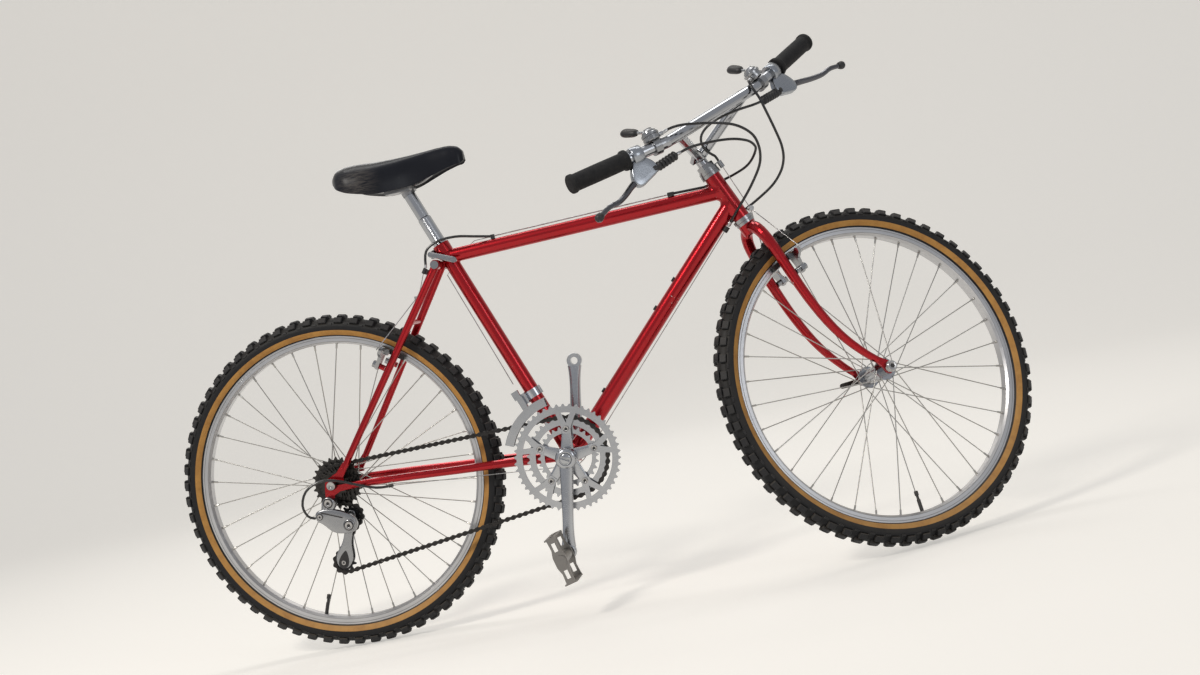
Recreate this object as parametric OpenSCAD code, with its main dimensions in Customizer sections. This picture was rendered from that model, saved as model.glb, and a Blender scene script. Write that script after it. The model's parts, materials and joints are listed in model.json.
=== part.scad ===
// Mountain bicycle: diamond frame, cantilever brakes, triple chainset, wide quill bar.
// All sizes in millimetres and degrees. +X is forward, +Y is the rider's left, +Z is up.
// The modules work from the bottom bracket's centre. The row's origin is the saddle top.

/* [Frame] */
// Horizontal distance from bottom bracket to top of head tube
reach = 374.6; // [340:1:420]
// Vertical distance from bottom bracket to top of head tube
stack = 462.8; // [430:1:560]
// Head tube length
head_len = 97; // [90:1:130]
// Head angle from the ground
head_angle = 66.2; // [65:0.1:73]
// Head tube radius
head_r = 16; // [15.5:0.5:19]
// Seat angle from the ground
seat_angle = 69.65; // [68:0.1:75]
// Seat tube length from bottom bracket to its top
seat_len = 478; // [440:1:580]
// Seat tube radius
seat_r = 14.3; // [13.8:0.1:15]
// Top tube radius
top_r = 13.8; // [12.5:0.1:15.5]
// Height of the top tube's axis on the seat tube
top_drop = 422.3; // [400:1:430]
// Distance from the head tube's top down to the top tube's axis
top_at_head = 35; // [30:1:45]
// Down tube radius
down_r = 15.4; // [14:0.1:16]
// Distance from the head tube's top down to the down tube's axis
down_at_head = 62; // [58:1:72]
// Rear hub's distance from the bottom bracket
chainstay_len = 460; // [440:1:480]
// Rear hub's height above the bottom bracket
bb_drop = 37.3; // [30:1:45]
// Bottom bracket shell radius
shell_r = 20; // [19:0.5:22]
// Bottom bracket shell width
shell_w = 68; // [68:1:73]
// Gap between the two bottle cage bosses
boss_gap = 64; // [60:0.5:74]
// Radius of each bottle cage boss's thread
boss_hole_r = 2.5; // [2.4:0.1:2.6]

/* [Fork] */
// Distance along the steering axis from head tube top to the front axle
axle_drop = 482.2; // [475:1:520]
// Fork offset
rake = 38.9; // [30:1:48]
// Fork blade radius at the top
blade_r = 12.3; // [11:0.1:13]
// Fork blade radius at the tip
tip_r = 6.4; // [6:0.1:7.5]
// Fork turn to the left at rest
fork_turn = 31; // [0:1:40]

/* [Handlebar] */
// Bar turn at rest, negative to the right
bar_turn = -50.7; // [-60:1:-30]
// Bar's forward extension from the steering axis
bar_reach = 106.8; // [90:1:125]
// Bar's height above the head tube's top
bar_rise = 86.1; // [75:1:110]
// Half length of the bar's straight middle
bar_mid = 117.3; // [105:1:130]
// Backward sweep of each grip
bar_sweep = 9.3; // [4:0.1:14]
// Upward sweep of each grip
bar_up = 8.3; // [0:0.1:10]
// Length from the bend to the bar's end
bar_end = 206; // [195:1:225]
// Bar radius
bar_r = 11.1; // [11:0.1:11.2]
// Grip length
grip_len = 121; // [100:1:125]
// Grip radius
grip_r = 16; // [14.5:0.5:17]

/* [Wheels] */
// Tyre outer radius without its knobs
tyre_r = 325; // [318:1:328]
// Tyre section radius
tyre_sec = 22.5; // [19:0.5:23]
// Rim outer radius
rim_r = 285; // [284:0.5:287]
// Rim depth
rim_depth = 15; // [12:0.5:20]
// Rim half width
rim_half = 13; // [11:0.5:14]
// Spokes in each wheel
spoke_n = 36; // [32:4:36]
// Spoke radius
spoke_r = 1; // [0.9:0.1:1.2]
// Front hub flange radius
front_flange_r = 21; // [18:1:24]
// Rear hub flange radius
rear_flange_r = 23; // [20:1:28]
// Width between the fork's dropouts
front_old = 100; // [96:1:104]
// Width between the rear dropouts
rear_old = 130; // [126:1:135]

/* [Drivetrain] */
// Crank length
crank_len = 175; // [165:1:180]
// Crank angle from upright at rest, left crank forward
crank_tilt = 9.7; // [0:0.1:20]
// Outer chainring teeth
ring_big = 50; // [48:1:50]
// Middle chainring teeth
ring_mid = 38; // [36:1:38]
// Inner chainring teeth
ring_small = 28; // [26:1:28]
// Chain line of the middle ring from the frame's middle
chain_y = 47; // [46:0.5:48]
// Teeth of the sprocket that carries the chain
cog_teeth = 17; // [16:1:18]
// Pulley teeth
pulley_teeth = 10; // [10:1:11]
// Radius of the threaded pedal eye, nine sixteenths of an inch
pedal_eye_r = 7.14; // [7.1:0.01:7.2]
// Pedal turn at rest from level
pedal_turn = 76; // [0:1:180]

/* [Saddle] */
// Saddle length
saddle_len = 256; // [240:1:280]
// Saddle half width at the back
saddle_half = 74; // [65:1:85]
// Seat post radius
post_r = 13.3; // [12.7:0.1:13.6]
// Seat post head's distance above the seat tube's top
post_out = 113; // [80:1:150]

/* [Hidden] */
$fn = 48;

fit = 0.05;
seat = 0.3;
pitch = 12.7;
chain_half = 3.4;
rider_x = -220;
rider_z = 629;

// Frame points in the bottom bracket's own axes
axis_dir = [-cos(head_angle), 0, sin(head_angle)];
seat_dir = [-cos(seat_angle), 0, sin(seat_angle)];
head_top = [reach, 0, stack];
hub_x = -sqrt(chainstay_len * chainstay_len - bb_drop * bb_drop);
rear_hub_at = [hub_x, 0, bb_drop];
top_front = head_top - top_at_head * axis_dir;
top_rear = [-top_drop / tan(seat_angle), 0, top_drop];
down_front = head_top - down_at_head * axis_dir;
down_rear = [0, 0, -4];
seat_top = seat_len * seat_dir;
top_dir = unit(top_front - top_rear);
down_dir = unit(down_front - down_rear);
down_under = [down_dir[2], 0, -down_dir[0]];
boss_along = [328, 328 + boss_gap];
function boss_at(d, up) = down_rear + d * down_dir - (down_r + up) * down_under;
shift_y = 9;
function shift_at(d) = down_rear + d * down_dir + (down_r + 3) * down_under + [0, -shift_y, 0];

// Seat stay line and its bolt, tied to the seat tube's top
stay_top = seat_top - 31 * seat_dir + 23.1 * [-seat_dir[2], 0, seat_dir[0]];
stay_low = rear_hub_at + [25.4, 0, 22.7];
stay_dir = unit(stay_top - stay_low);
stay_lean = atan2(stay_dir[0], stay_dir[2]);
stay_top_y = 28;
stay_low_y = rear_old / 2 + 3;
stay_len = norm(stay_top - stay_low);
brake_up = 212;
brake_dist = 245;

// Steering parts: brake boss and fork blade line
steer_r = 12.7;
hanger_turn = -35;
function hanger(z) = [27 * cos(hanger_turn), 27 * sin(hanger_turn), z];
boss_drop = axle_drop - brake_dist + 0.8;
blade_pts = [
    [0, 10, -121], [-1, 24, -128], [-3, 36, -146], [-5, 42.5, -177], [-8, 44.5, -225],
    [-10, 45.5, -290], [-7, 46.5, 135 - axle_drop], [2, 48, 88 - axle_drop],
    [rake - 22, 50, 46 - axle_drop], [rake - 10, 52, 22 - axle_drop]
];

// Chainset
ring_y = [-chain_y - 7, -chain_y, -chain_y + 5.5];
hub_face = -chain_y - 28;
eye_in = 13;
crank_out = 12;
bcd = 110;
small_bolt_r = 38;
right_dir = [-sin(crank_tilt), 0, -cos(crank_tilt)];
left_dir = -right_dir;
pedal_at = crank_len * right_dir;
eye_out = chain_y + 39;

// Chain loop: four wheels in the order that the chain meets them, with their turning sense
function pitch_r(teeth) = pitch / (2 * sin(180 / teeth));
guide_at = [hub_x + 17.4, bb_drop - 67.3];
tension_at = [hub_x - 15.6, bb_drop - 153.3];
loop_at = [[0, 0], [hub_x, bb_drop], guide_at, tension_at];
loop_r = [
    pitch_r(ring_mid), pitch_r(cog_teeth), -pitch_r(pulley_teeth), pitch_r(pulley_teeth)
];
cogs = [24, 20, 17, 15, 14, 13];

function unit(v) = v / norm(v);
function turned(v, a) = [v[0] * cos(a) - v[1] * sin(a), v[0] * sin(a) + v[1] * cos(a)];
function ang(v) = atan2(v[1], v[0]);
function up360(a) = a < 0 ? a + 360 : (a >= 360 ? a - 360 : a);
function tan_dir(k) =
    let(j = (k + 1) % 4, d = loop_at[j] - loop_at[k])
    ang(d) - asin((loop_r[j] - loop_r[k]) / norm(d));
function left_of(a) = [-sin(a), cos(a)];
function off_pt(k, a) = loop_at[k] - left_of(a) * loop_r[k];
function line_len(k) =
    norm(off_pt((k + 1) % 4, tan_dir(k)) - off_pt(k, tan_dir(k)));
function arc_turn(k) =
    let(d = tan_dir(k) - tan_dir((k + 3) % 4))
    loop_r[k] > 0 ? up360(up360(d)) : -up360(up360(-d));
function arc_len(k) = abs(arc_turn(k) * loop_r[k]) * PI / 180;
// Pieces of the loop: line 0, arc 1, line 1, arc 2, line 2, arc 3, line 3, arc 0
loop_len = [
    line_len(0), arc_len(1), line_len(1), arc_len(2),
    line_len(2), arc_len(3), line_len(3), arc_len(0)
];
function sum_to(v, n) = n <= 0 ? 0 : v[n - 1] + sum_to(v, n - 1);
loop_total = sum_to(loop_len, 8);
links = 2 * round(loop_total / pitch / 2);
link_step = loop_total / links;
function piece_at(s, k = 0) = (k >= 7 || s < sum_to(loop_len, k + 1)) ? k : piece_at(s, k + 1);
function loop_pt(s) =
    let(k = piece_at(s), u = s - sum_to(loop_len, k), w = floor((k + 1) / 2) % 4)
    k % 2 == 0
        ? let(a = tan_dir(w)) [off_pt(w, a) + u * [cos(a), sin(a)], a]
        : let(a = tan_dir((w + 3) % 4) + u / loop_r[w] * 180 / PI) [off_pt(w, a), a];
// A pin shows only where the chain is clear of every tooth
function tooth_reach(k) = sqrt((2 * abs(loop_r[k % 4]) - 0.6) * 5.2);
function free_run(s) =
    let(k = piece_at(s), u = s - sum_to(loop_len, k), w = k / 2)
    k % 2 == 0 && u > tooth_reach(w) && loop_len[k] - u > tooth_reach(w + 1);
function link_half(i) = i % 4 == 0 ? 4.3 : (i % 4 == 2 ? 3 : 3.6);
function ribbon(side) = [
    for (i = [0 : 4 * links - 1])
        let(q = loop_pt(i * link_step / 4))
        q[0] + side * link_half(i) * left_of(q[1])
];

// Smooth curve through chosen points, and a round tube along it
function cat(a, b, c, d, t) =
    0.5 * (2 * b + (c - a) * t + (2 * a - 5 * b + 4 * c - d) * t * t
    + (3 * b - a - 3 * c + d) * t * t * t);
function smooth(p, k) =
    let(n = len(p))
    concat(
        [for (i = [0 : n - 2], j = [0 : k - 1])
            cat(p[max(i - 1, 0)], p[i], p[i + 1], p[min(i + 2, n - 1)], j / k)],
        [p[n - 1]]
    );
function heading(p, i) = unit(p[min(i + 1, len(p) - 1)] - p[max(i - 1, 0)]);
function carry(p, i, m) =
    i >= len(p) ? []
    : let(t = heading(p, i), q = unit(m - (m * t) * t)) concat([q], carry(p, i + 1, q));

module tube(p, r1, r2, sides) {
    n = len(p);
    first = abs(heading(p, 0)[2]) < 0.8 ? [0, 0, 1] : [0, 1, 0];
    ms = carry(p, 0, first);
    pts = [
        for (i = [0 : n - 1], j = [0 : sides - 1])
            let(
                t = heading(p, i),
                b = cross(t, ms[i]),
                r = r1 + (r2 - r1) * i / (n - 1),
                a = 360 * j / sides
            )
            p[i] + r * cos(a) * ms[i] + r * sin(a) * b
    ];
    walls = [
        for (i = [0 : n - 2], j = [0 : sides - 1])
            let(k = (j + 1) % sides)
            [i * sides + j, (i + 1) * sides + j, (i + 1) * sides + k, i * sides + k]
    ];
    low = [for (j = [0 : sides - 1]) j];
    high = [for (j = [sides - 1 : -1 : 0]) (n - 1) * sides + j];
    polyhedron(points = pts, faces = concat([low], walls, [high]));
}

// Straight round bar or cone between two points
module rod(p, q, r1, r2 = 0) {
    d = q - p;
    h = norm(d);
    translate(p)
        rotate([0, acos(d[2] / h), atan2(d[1], d[0])])
            cylinder(h = h, r1 = r1, r2 = r2 == 0 ? r1 : r2);
}

// Flat plate drawn in the XZ plane between two Y values
module slab(ya, yb) {
    translate([0, yb, 0])
        rotate([90, 0, 0])
            linear_extrude(height = yb - ya)
                children();
}

module across(x, z, ya, yb, r) {
    translate([x, yb, z])
        rotate([90, 0, 0])
            cylinder(h = yb - ya, r = r);
}

module both() {
    children();
    mirror([0, 1, 0])
        children();
}

// Places: the row's axes, the steering axis, the bar, each grip and each brake
module ride() {
    translate([-rider_x, 0, -rider_z])
        children();
}

module steer(turn) {
    ride()
        translate(head_top)
            rotate([0, head_angle - 90, 0])
                rotate([0, 0, turn])
                    children();
}

module grip_place() {
    translate([bar_reach, bar_mid, bar_rise])
        rotate([bar_up, 0, bar_sweep])
            children();
}

module front_wheel_place() {
    steer(fork_turn)
        translate([rake, 0, -axle_drop])
            children();
}

module rear_wheel_place() {
    ride()
        translate(rear_hub_at)
            children();
}

module front_brake_place() {
    steer(fork_turn)
        translate([-8, 0, -boss_drop])
            children();
}

module rear_brake_place() {
    ride()
        translate(stay_low + brake_up * stay_dir)
            rotate([0, stay_lean, 0])
                rotate([0, 0, 180])
                    children();
}

module sprocket_2d(teeth, inner) {
    r = pitch_r(teeth);
    root = r - 3.2;
    tip = r + (teeth > 45 ? 1.6 : 2.2);
    difference() {
        polygon([
            for (i = [0 : teeth - 1], k = [0 : 3])
                let(
                    a = 360 / teeth * (i + [0.18, 0.42, 0.58, 0.82][k]),
                    q = [root, tip, tip, root][k]
                )
                [q * cos(a), q * sin(a)]
        ]);
        circle(r = inner, $fn = 72);
    }
}

// Frame tubes, each cut to meet the next
module head_tube() {
    color("firebrick")
        steer(0)
            difference() {
                translate([0, 0, -head_len])
                    cylinder(h = head_len, r = head_r);
                translate([0, 0, -head_len - 1])
                    cylinder(h = head_len + 2, r = steer_r + 2.3);
            }
}

module top_tube() {
    color("firebrick")
        ride()
            difference() {
                rod(top_rear, top_front, top_r);
                rod(head_top + 5 * axis_dir, head_top - (head_len + 5) * axis_dir, head_r);
                rod([0, 0, 0], seat_top + 5 * seat_dir, seat_r);
                rod(seat_top - 20 * seat_dir, seat_top + 5 * seat_dir, seat_r + 2.6);
            }
}

module down_tube() {
    color("firebrick")
        ride()
            difference() {
                rod(down_rear, down_front, down_r);
                rod(head_top + 5 * axis_dir, head_top - (head_len + 5) * axis_dir, head_r);
                rod(top_rear, top_front, top_r);
                across(0, 0, -shell_w / 2 - 5, shell_w / 2 + 5, shell_r);
                for (d = boss_along)
                    rod(boss_at(d, -8 - fit), boss_at(d, 9), 5 + fit);
            }
}

module seat_tube() {
    lug = stay_top;
    color("firebrick")
        ride()
            difference() {
                union() {
                    rod([0, 0, 0], seat_top, seat_r);
                    rod(seat_top - 20 * seat_dir, seat_top, seat_r + 2.6);
                    across(lug[0], lug[2], -stay_top_y + 8.3, stay_top_y - 8.3, 8.5);
                    translate(lug)
                        rotate([0, 90 - seat_angle, 0])
                            translate([0, -12, -7])
                                cube([14, 24, 14]);
                }
                rod(seat_top - 150 * seat_dir, seat_top + 5 * seat_dir, post_r + fit);
                across(lug[0], lug[2], -60, 60, 5 + fit);
                across(0, 0, -shell_w / 2 - 5, shell_w / 2 + 5, shell_r);
                rod(down_rear, down_front, down_r);
                translate(seat_top)
                    rotate([0, seat_angle - 90, 0])
                        translate([-30, -1.2, -16])
                            cube([30, 2.4, 40]);
            }
}

module bottom_bracket_shell() {
    color("firebrick")
        ride()
            difference() {
                across(0, 0, -shell_w / 2, shell_w / 2, shell_r);
                across(0, 0, -shell_w / 2 - 1, shell_w / 2 + 1, 8.5 + fit);
            }
}

module seat_stays() {
    top = stay_top + [0, stay_top_y, 0];
    low = stay_low + [0, stay_low_y, 0] + 4 * stay_dir;
    color("firebrick")
        ride()
            both()
                difference() {
                    union() {
                        rod(low, top, 6.4, 7.9);
                        across(top[0], top[2], stay_top_y - 8, stay_top_y + 8, 9.6);
                    }
                    across(top[0], top[2], 0, 60, 5 + fit);
                    translate(stay_low + [-40, rear_old / 2 - fit, -50])
                        cube([70, 6 + 2 * fit, 72]);
                }
}

module chain_stays() {
    pts = [
        [-14, 23, 2], [-58, 26, 5], [-100, 33.5, 9], [-145, 41.5, 12.5],
        [-220, 48, 17], [-330, 58, 25], [hub_x + 36, rear_old / 2 + 3, bb_drop - 7]
    ];
    color("firebrick")
        ride()
            both()
                difference() {
                    tube(smooth(pts, 3), 10.6, 6.4, 16);
                    across(0, 0, -60, 60, shell_r + fit);
                    translate([hub_x + 30, rear_old / 2 - fit, bb_drop - 30])
                        cube([16 + fit, 6 + 2 * fit, 60]);
                }
}

module rear_dropouts() {
    color("firebrick")
        ride()
            both()
                slab(rear_old / 2, rear_old / 2 + 6)
                    translate([hub_x, bb_drop])
                        difference() {
                            polygon([
                                [39.5, 32.4], [29.7, 39.2], [13, 22], [-6, 14], [-14, 6], [-17, -8],
                                [-19, -24], [-22, -34], [-14, -42], [-3, -38], [0, -20],
                                [14, -14], [46, -13], [46, -2], [24, 1], [24, 11]
                            ]);
                            circle(r = 5 + fit);
                            translate([0, -2])
                                square([30, 6.5]);
                            translate([-11.3, -31.4])
                                circle(r = 5 + fit);
                        }
}

module stay_bridges() {
    at_brake = stay_low + 312 * stay_dir;
    share = (312 - 4) / (stay_len - 4);
    mid_y = stay_low_y + (stay_top_y - stay_low_y) * share;
    mid_r = 6.4 + 1.5 * share;
    color("firebrick") {
        ride()
            across(at_brake[0], at_brake[2], -mid_y + mid_r + 0.4, mid_y - mid_r - 0.4, 5);
        ride()
            across(-80, 7, -19.3, 19.3, 5);
        rear_brake_place()
            both()
                translate([8.0, 43.6, 0])
                    rotate([0, 90, 0])
                        cylinder(h = 11, r = 5.5);
    }
}

module headset_cups() {
    color("silver")
        steer(0) {
            difference() {
                cylinder(h = 7, r = head_r + 4);
                translate([0, 0, -1])
                    cylinder(h = 9, r = steer_r + 0.6);
            }
            translate([0, 0, -head_len - 7])
                difference() {
                    cylinder(h = 7, r = head_r + 4);
                    translate([0, 0, -1])
                        cylinder(h = 9, r = steer_r + 0.6);
                }
        }
}

module seat_post() {
    step = 0.57 * post_out;
    color("silver")
        ride() {
            rod(seat_top - 140 * seat_dir, seat_top + (step - 5) * seat_dir, post_r);
            rod(seat_top + (step - 5) * seat_dir, seat_top + (step - 3) * seat_dir, post_r, 12);
            rod(seat_top + (step - 3) * seat_dir, seat_top + post_out * seat_dir, 12);
        }
}

module seat_binder() {
    ear = seat_top - 9 * seat_dir + 22 * [-seat_dir[2], 0, seat_dir[0]];
    tip = [44, -5, -19];
    color("silver")
        ride() {
            across(ear[0], ear[2], -26, 18, 3.2);
            for (s = [-1, 1])
                translate(seat_top - 9 * seat_dir)
                    rotate([0, seat_angle - 90, 0])
                        translate([-28, s > 0 ? 1.5 : -8.5, -7])
                            difference() {
                                cube([10.8, 7, 14]);
                                translate([6, -1, 7])
                                    rotate([-90, 0, 0])
                                        cylinder(h = 9, r = 3.2 + fit);
                            }
            across(ear[0], ear[2], 9, 15, 7);
            across(ear[0], ear[2], -25, -18, 5.8);
            hull() {
                across(ear[0], ear[2], -27, -22, 5);
                across(ear[0] + tip[0], ear[2] + tip[2], -32, -27, 5.5);
            }
            across(stay_top[0], stay_top[2], -41, 41, 5);
            both()
                across(stay_top[0], stay_top[2], stay_top_y + 8.2, stay_top_y + 13, 8);
        }
}

// Saddle shell: a padded top over an open underside, lofted along the length
module saddle() {
    rear_x = -341;
    rows = [
        [0, 0.50, 619, 602], [0.03, 0.72, 627, 593], [0.09, 0.92, 632, 583],
        [0.20, 1.00, 633, 573], [0.34, 0.93, 630, 566], [0.47, 0.74, 629, 566],
        [0.60, 0.52, 629, 573], [0.72, 0.37, 630, 584], [0.84, 0.29, 630, 593],
        [0.93, 0.24, 626, 598], [0.98, 0.18, 619, 601], [1, 0.11, 613, 604]
    ];
    arc = 12;
    n = 2 * (arc + 1);
    pts = [
        for (i = [0 : len(rows) - 1], j = [0 : n - 1])
            let(
                s = rows[i],
                outer = j <= arc,
                a = 180 * (outer ? j : n - 1 - j) / arc,
                w = s[1] * saddle_half - (outer ? 0 : min(7, 0.4 * s[1] * saddle_half)),
                h = (s[2] - s[3]) - (outer ? 0 : min(17, 0.55 * (s[2] - s[3]))),
                cy = sign(cos(a)) * pow(abs(cos(a)), 0.7),
                cz = pow(sin(a), 0.75)
            )
            [rear_x + saddle_len * s[0], w * cy, s[3] + h * cz]
    ];
    walls = [
        for (i = [0 : len(rows) - 2], j = [0 : n - 1])
            let(k = (j + 1) % n)
            [i * n + j, (i + 1) * n + j, (i + 1) * n + k, i * n + k]
    ];
    low = [for (j = [0 : n - 1]) j];
    high = [for (j = [n - 1 : -1 : 0]) (len(rows) - 1) * n + j];
    color("#222222")
        ride()
            polyhedron(points = pts, faces = concat([low], walls, [high]));
}

rail_z = 575;
rail_y = 21;
clamp_x = -222;
module saddle_rails() {
    pts = [
        [-316, 34, 607], [-300, 30, 595], [-272, 23, 577], [-250, rail_y, rail_z],
        [-195, rail_y, rail_z], [-172, 18, 580], [-140, 11, 594], [-106, 6, 603.7]
    ];
    color("silver")
        ride()
            both()
                tube(smooth(pts, 3), 3.5, 3.5, 10);
}

module saddle_clamp() {
    head = seat_top + post_out * seat_dir;
    color("silver")
        ride() {
            difference() {
                union() {
                    translate([clamp_x - 25, -27, rail_z - 13])
                        cube([50, 54, 9.2]);
                    translate(head)
                        rotate([0, seat_angle - 90, 0])
                            translate([0, 0, seat])
                                cylinder(h = 9, r = 13);
                }
                translate([clamp_x, 0, rail_z - 30])
                    cylinder(h = 60, r = 3.2 + fit);
            }
            translate([clamp_x - 20, -27, rail_z + 3.8])
                difference() {
                    cube([40, 54, 6]);
                    translate([20, 27, -1])
                        cylinder(h = 9, r = 3.2 + fit);
                }
            translate([clamp_x, 0, rail_z - 13.5])
                cylinder(h = 27, r = 3.2);
            translate([clamp_x, 0, rail_z + 9.9])
                cylinder(h = 4, r = 6);
        }
}

// Gears
fd_at = 139;
module front_derailleur() {
    cage_r = pitch_r(ring_big) + 4;
    mid = fd_at * seat_dir;
    color("silver") {
        ride() {
            difference() {
                rod(mid - 8 * seat_dir, mid + 8 * seat_dir, seat_r + 3.5);
                rod(mid - 20 * seat_dir, mid + 20 * seat_dir, seat_r + fit);
            }
            translate(mid)
                rotate([0, seat_angle - 90, 0]) {
                    difference() {
                        translate([-31, -24, -12])
                            cube([20, 14, 22]);
                        translate([0, 0, -30])
                            cylinder(h = 60, r = seat_r + fit);
                    }
                    translate([-33, -30, 4])
                        cube([14, 8, 17]);
                    translate([-29, -33, -24])
                        cube([12, 9.2, 30]);
                }
            slab(-chain_y - 6.4, -chain_y - 5.2)
                fd_plate(cage_r, 17, 100, 158);
            slab(-chain_y + 5, -chain_y + 6.2)
                fd_plate(cage_r, 17, 100, 158);
            slab(-chain_y - 5.3, -chain_y + 5.1)
                intersection() {
                    fd_plate(cage_r + 15, 2, 100, 128);
                    circle(r = 200);
                }
            slab(-chain_y - 5.3, -chain_y + 5.1)
                rotate(158)
                    translate([cage_r, -2])
                        square([15, 2]);
            slab(-chain_y + 6.1, -30)
                fd_plate(cage_r + 5, 12, 108, 122);
        }
    }
}

module fd_plate(r, w, a, b) {
    steps = 14;
    polygon(concat(
        [for (i = [0 : steps]) let(t = a + (b - a) * i / steps) r * [cos(t), sin(t)]],
        [for (i = [steps : -1 : 0]) let(t = a + (b - a) * i / steps) (r + w) * [cos(t), sin(t)]]
    ));
}

hanger = [hub_x - 11.3, bb_drop - 31.4];
module rear_derailleur() {
    knuckle = [hub_x + 22, bb_drop - 80];
    pinch = [hub_x - 32, bb_drop - 54];
    color("silver")
        ride() {
            across(hanger[0], hanger[1], -rear_old / 2 - 14, -rear_old / 2 + 2, 5);
            across(hanger[0], hanger[1], -rear_old / 2 - 21, -rear_old / 2 - 6.3, 11);
            slab(-rear_old / 2 - 21, -rear_old / 2 - 9)
                polygon([
                    hanger + [-8, 4], hanger + [8, 5], hanger + [5, -16],
                    pinch + [22, 6], pinch + [4, 8]
                ]);
            slab(-rear_old / 2 - 24, -rear_old / 2 - 12)
                polygon([
                    pinch + [-8, 10], pinch + [12, 12], knuckle + [-8, 13], knuckle + [10, 14],
                    knuckle + [16, 4], knuckle + [13, -10], knuckle + [-4, -14],
                    knuckle + [-30, -10], pinch + [4, -12], pinch + [-8, -6]
                ]);
            across(knuckle[0], knuckle[1], -rear_old / 2 - 27, -rear_old / 2 + 2, 11.5);
        }
}

cage_y = 6.2;
module derailleur_cage() {
    foot = [hub_x + 12, bb_drop - 78];
    color("silver")
        ride() {
            slab(-chain_y - cage_y - 2.5, -chain_y - cage_y)
                difference() {
                    cage_2d(foot);
                    translate(guide_at)
                        circle(r = 2.6 + fit);
                    translate(tension_at)
                        circle(r = 2.6 + fit);
                }
            slab(-chain_y + cage_y, -chain_y + cage_y + 2)
                difference() {
                    cage_2d([(guide_at[0] + tension_at[0]) / 2, (guide_at[1] + tension_at[1]) / 2]);
                    translate(guide_at)
                        circle(r = 2.6 + fit);
                    translate(tension_at)
                        circle(r = 2.6 + fit);
                }
            for (c = [guide_at, tension_at])
                across(c[0], c[1], -chain_y - cage_y - 3.5, -chain_y + cage_y + 3, 2.6);
        }
}

module cage_2d(foot) {
    d = unit(tension_at - guide_at);
    m = [-d[1], d[0]];
    polygon([
        guide_at - 9 * d + 7 * m, guide_at - 9 * d - 7 * m, guide_at + 10 * d - 9 * m,
        guide_at + 45 * d - 6.5 * m, tension_at - 17 * d - 9 * m, tension_at - 13 * m,
        tension_at + 13 * d - 6 * m, tension_at + 13 * d + 6 * m, tension_at + 13 * m,
        tension_at - 17 * d + 9 * m, guide_at + 45 * d + 6.5 * m, guide_at + 10 * d + 9 * m
    ]);
}

module jockey_wheels() {
    r = pitch_r(pulley_teeth);
    color("#222222")
        ride()
            for (c = [guide_at, tension_at])
                slab(-chain_y - 1.2, -chain_y + 1.2)
                    translate(c)
                        difference() {
                            polygon([
                                for (i = [0 : pulley_teeth - 1], k = [0 : 3])
                                    let(
                                        a = 360 / pulley_teeth * (i + [0.15, 0.4, 0.6, 0.85][k]),
                                        q = r + [-4.5, 2, 2, -4.5][k]
                                    )
                                    [q * cos(a), q * sin(a)]
                            ]);
                            circle(r = 2.6 + fit);
                        }
}

module chain() {
    outer = ribbon(-1);
    inner = ribbon(1);
    color("#333333")
        ride() {
            for (s = [-1, 1])
                slab(-chain_y + (s > 0 ? 1.6 : -chain_half), -chain_y + (s > 0 ? chain_half : -1.6))
                    difference() {
                        polygon(outer);
                        polygon(inner);
                    }
            for (i = [0 : links - 1])
                if (free_run(i * link_step)) {
                    q = loop_pt(i * link_step)[0];
                    across(q[0], q[1], -chain_y - chain_half - 0.2, -chain_y + chain_half + 0.2, 2.6);
                }
        }
}

module sprockets() {
    color("#3a3a3a")
        ride() {
            for (i = [0 : 5])
                slab(-chain_y + 10 - 5 * i - 1, -chain_y + 10 - 5 * i + 1)
                    translate([hub_x, bb_drop])
                        sprocket_2d(cogs[i], 17);
            difference() {
                across(hub_x, bb_drop, -rear_old / 2 + 0.4, -30, 18.5);
                across(hub_x, bb_drop, -rear_old / 2 - 4, -20, 5 + fit);
            }
        }
}

// Cantilever brake: pivots on a boss, with the shoe inside and the cable end outside
module brake_arm() {
    translate([19.3, 0, 0])
        rotate([90, 0, 90])
            linear_extrude(height = 7)
                polygon([
                    [37, -5], [45, -9], [53, -5], [55, 6], [60, 18], [78, 26], [81, 34],
                    [75, 38], [56, 33], [46, 36], [39, 38], [35, 30], [37, 14]
                ]);
    translate([26, 45, 0])
        rotate([0, 90, 0])
            cylinder(h = 7, r = 7);
    translate([25, 42, 31])
        rotate([0, 90, 0])
            cylinder(h = 7, r = 6.5);
    translate([16, 25.2, 31])
        rotate([-90, 0, 0])
            cylinder(h = 16, r = 3);
    translate([14, 36, 25])
        cube([5.5, 10, 12]);
}

module brake_pad(tilt) {
    translate([10, 15, 31])
        rotate([0, -tilt, 0])
            translate([-24, 0, -5])
                cube([48, 10, 9.5]);
}

module rear_brake_arms() {
    color("silver")
        rear_brake_place()
            both()
                brake_arm();
}

module rear_brake_pads() {
    color("#222222")
        rear_brake_place()
            both()
                brake_pad(0);
}

module front_brake_arms() {
    color("silver")
        front_brake_place() {
            both()
                brake_arm();
            both()
                translate([9.5, 44.6, 0])
                    rotate([0, 90, 0])
                        cylinder(h = 9.6, r = 5.5);
        }
}

module front_brake_pads() {
    color("#222222")
        front_brake_place()
            both()
                brake_pad(7.6);
}

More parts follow.
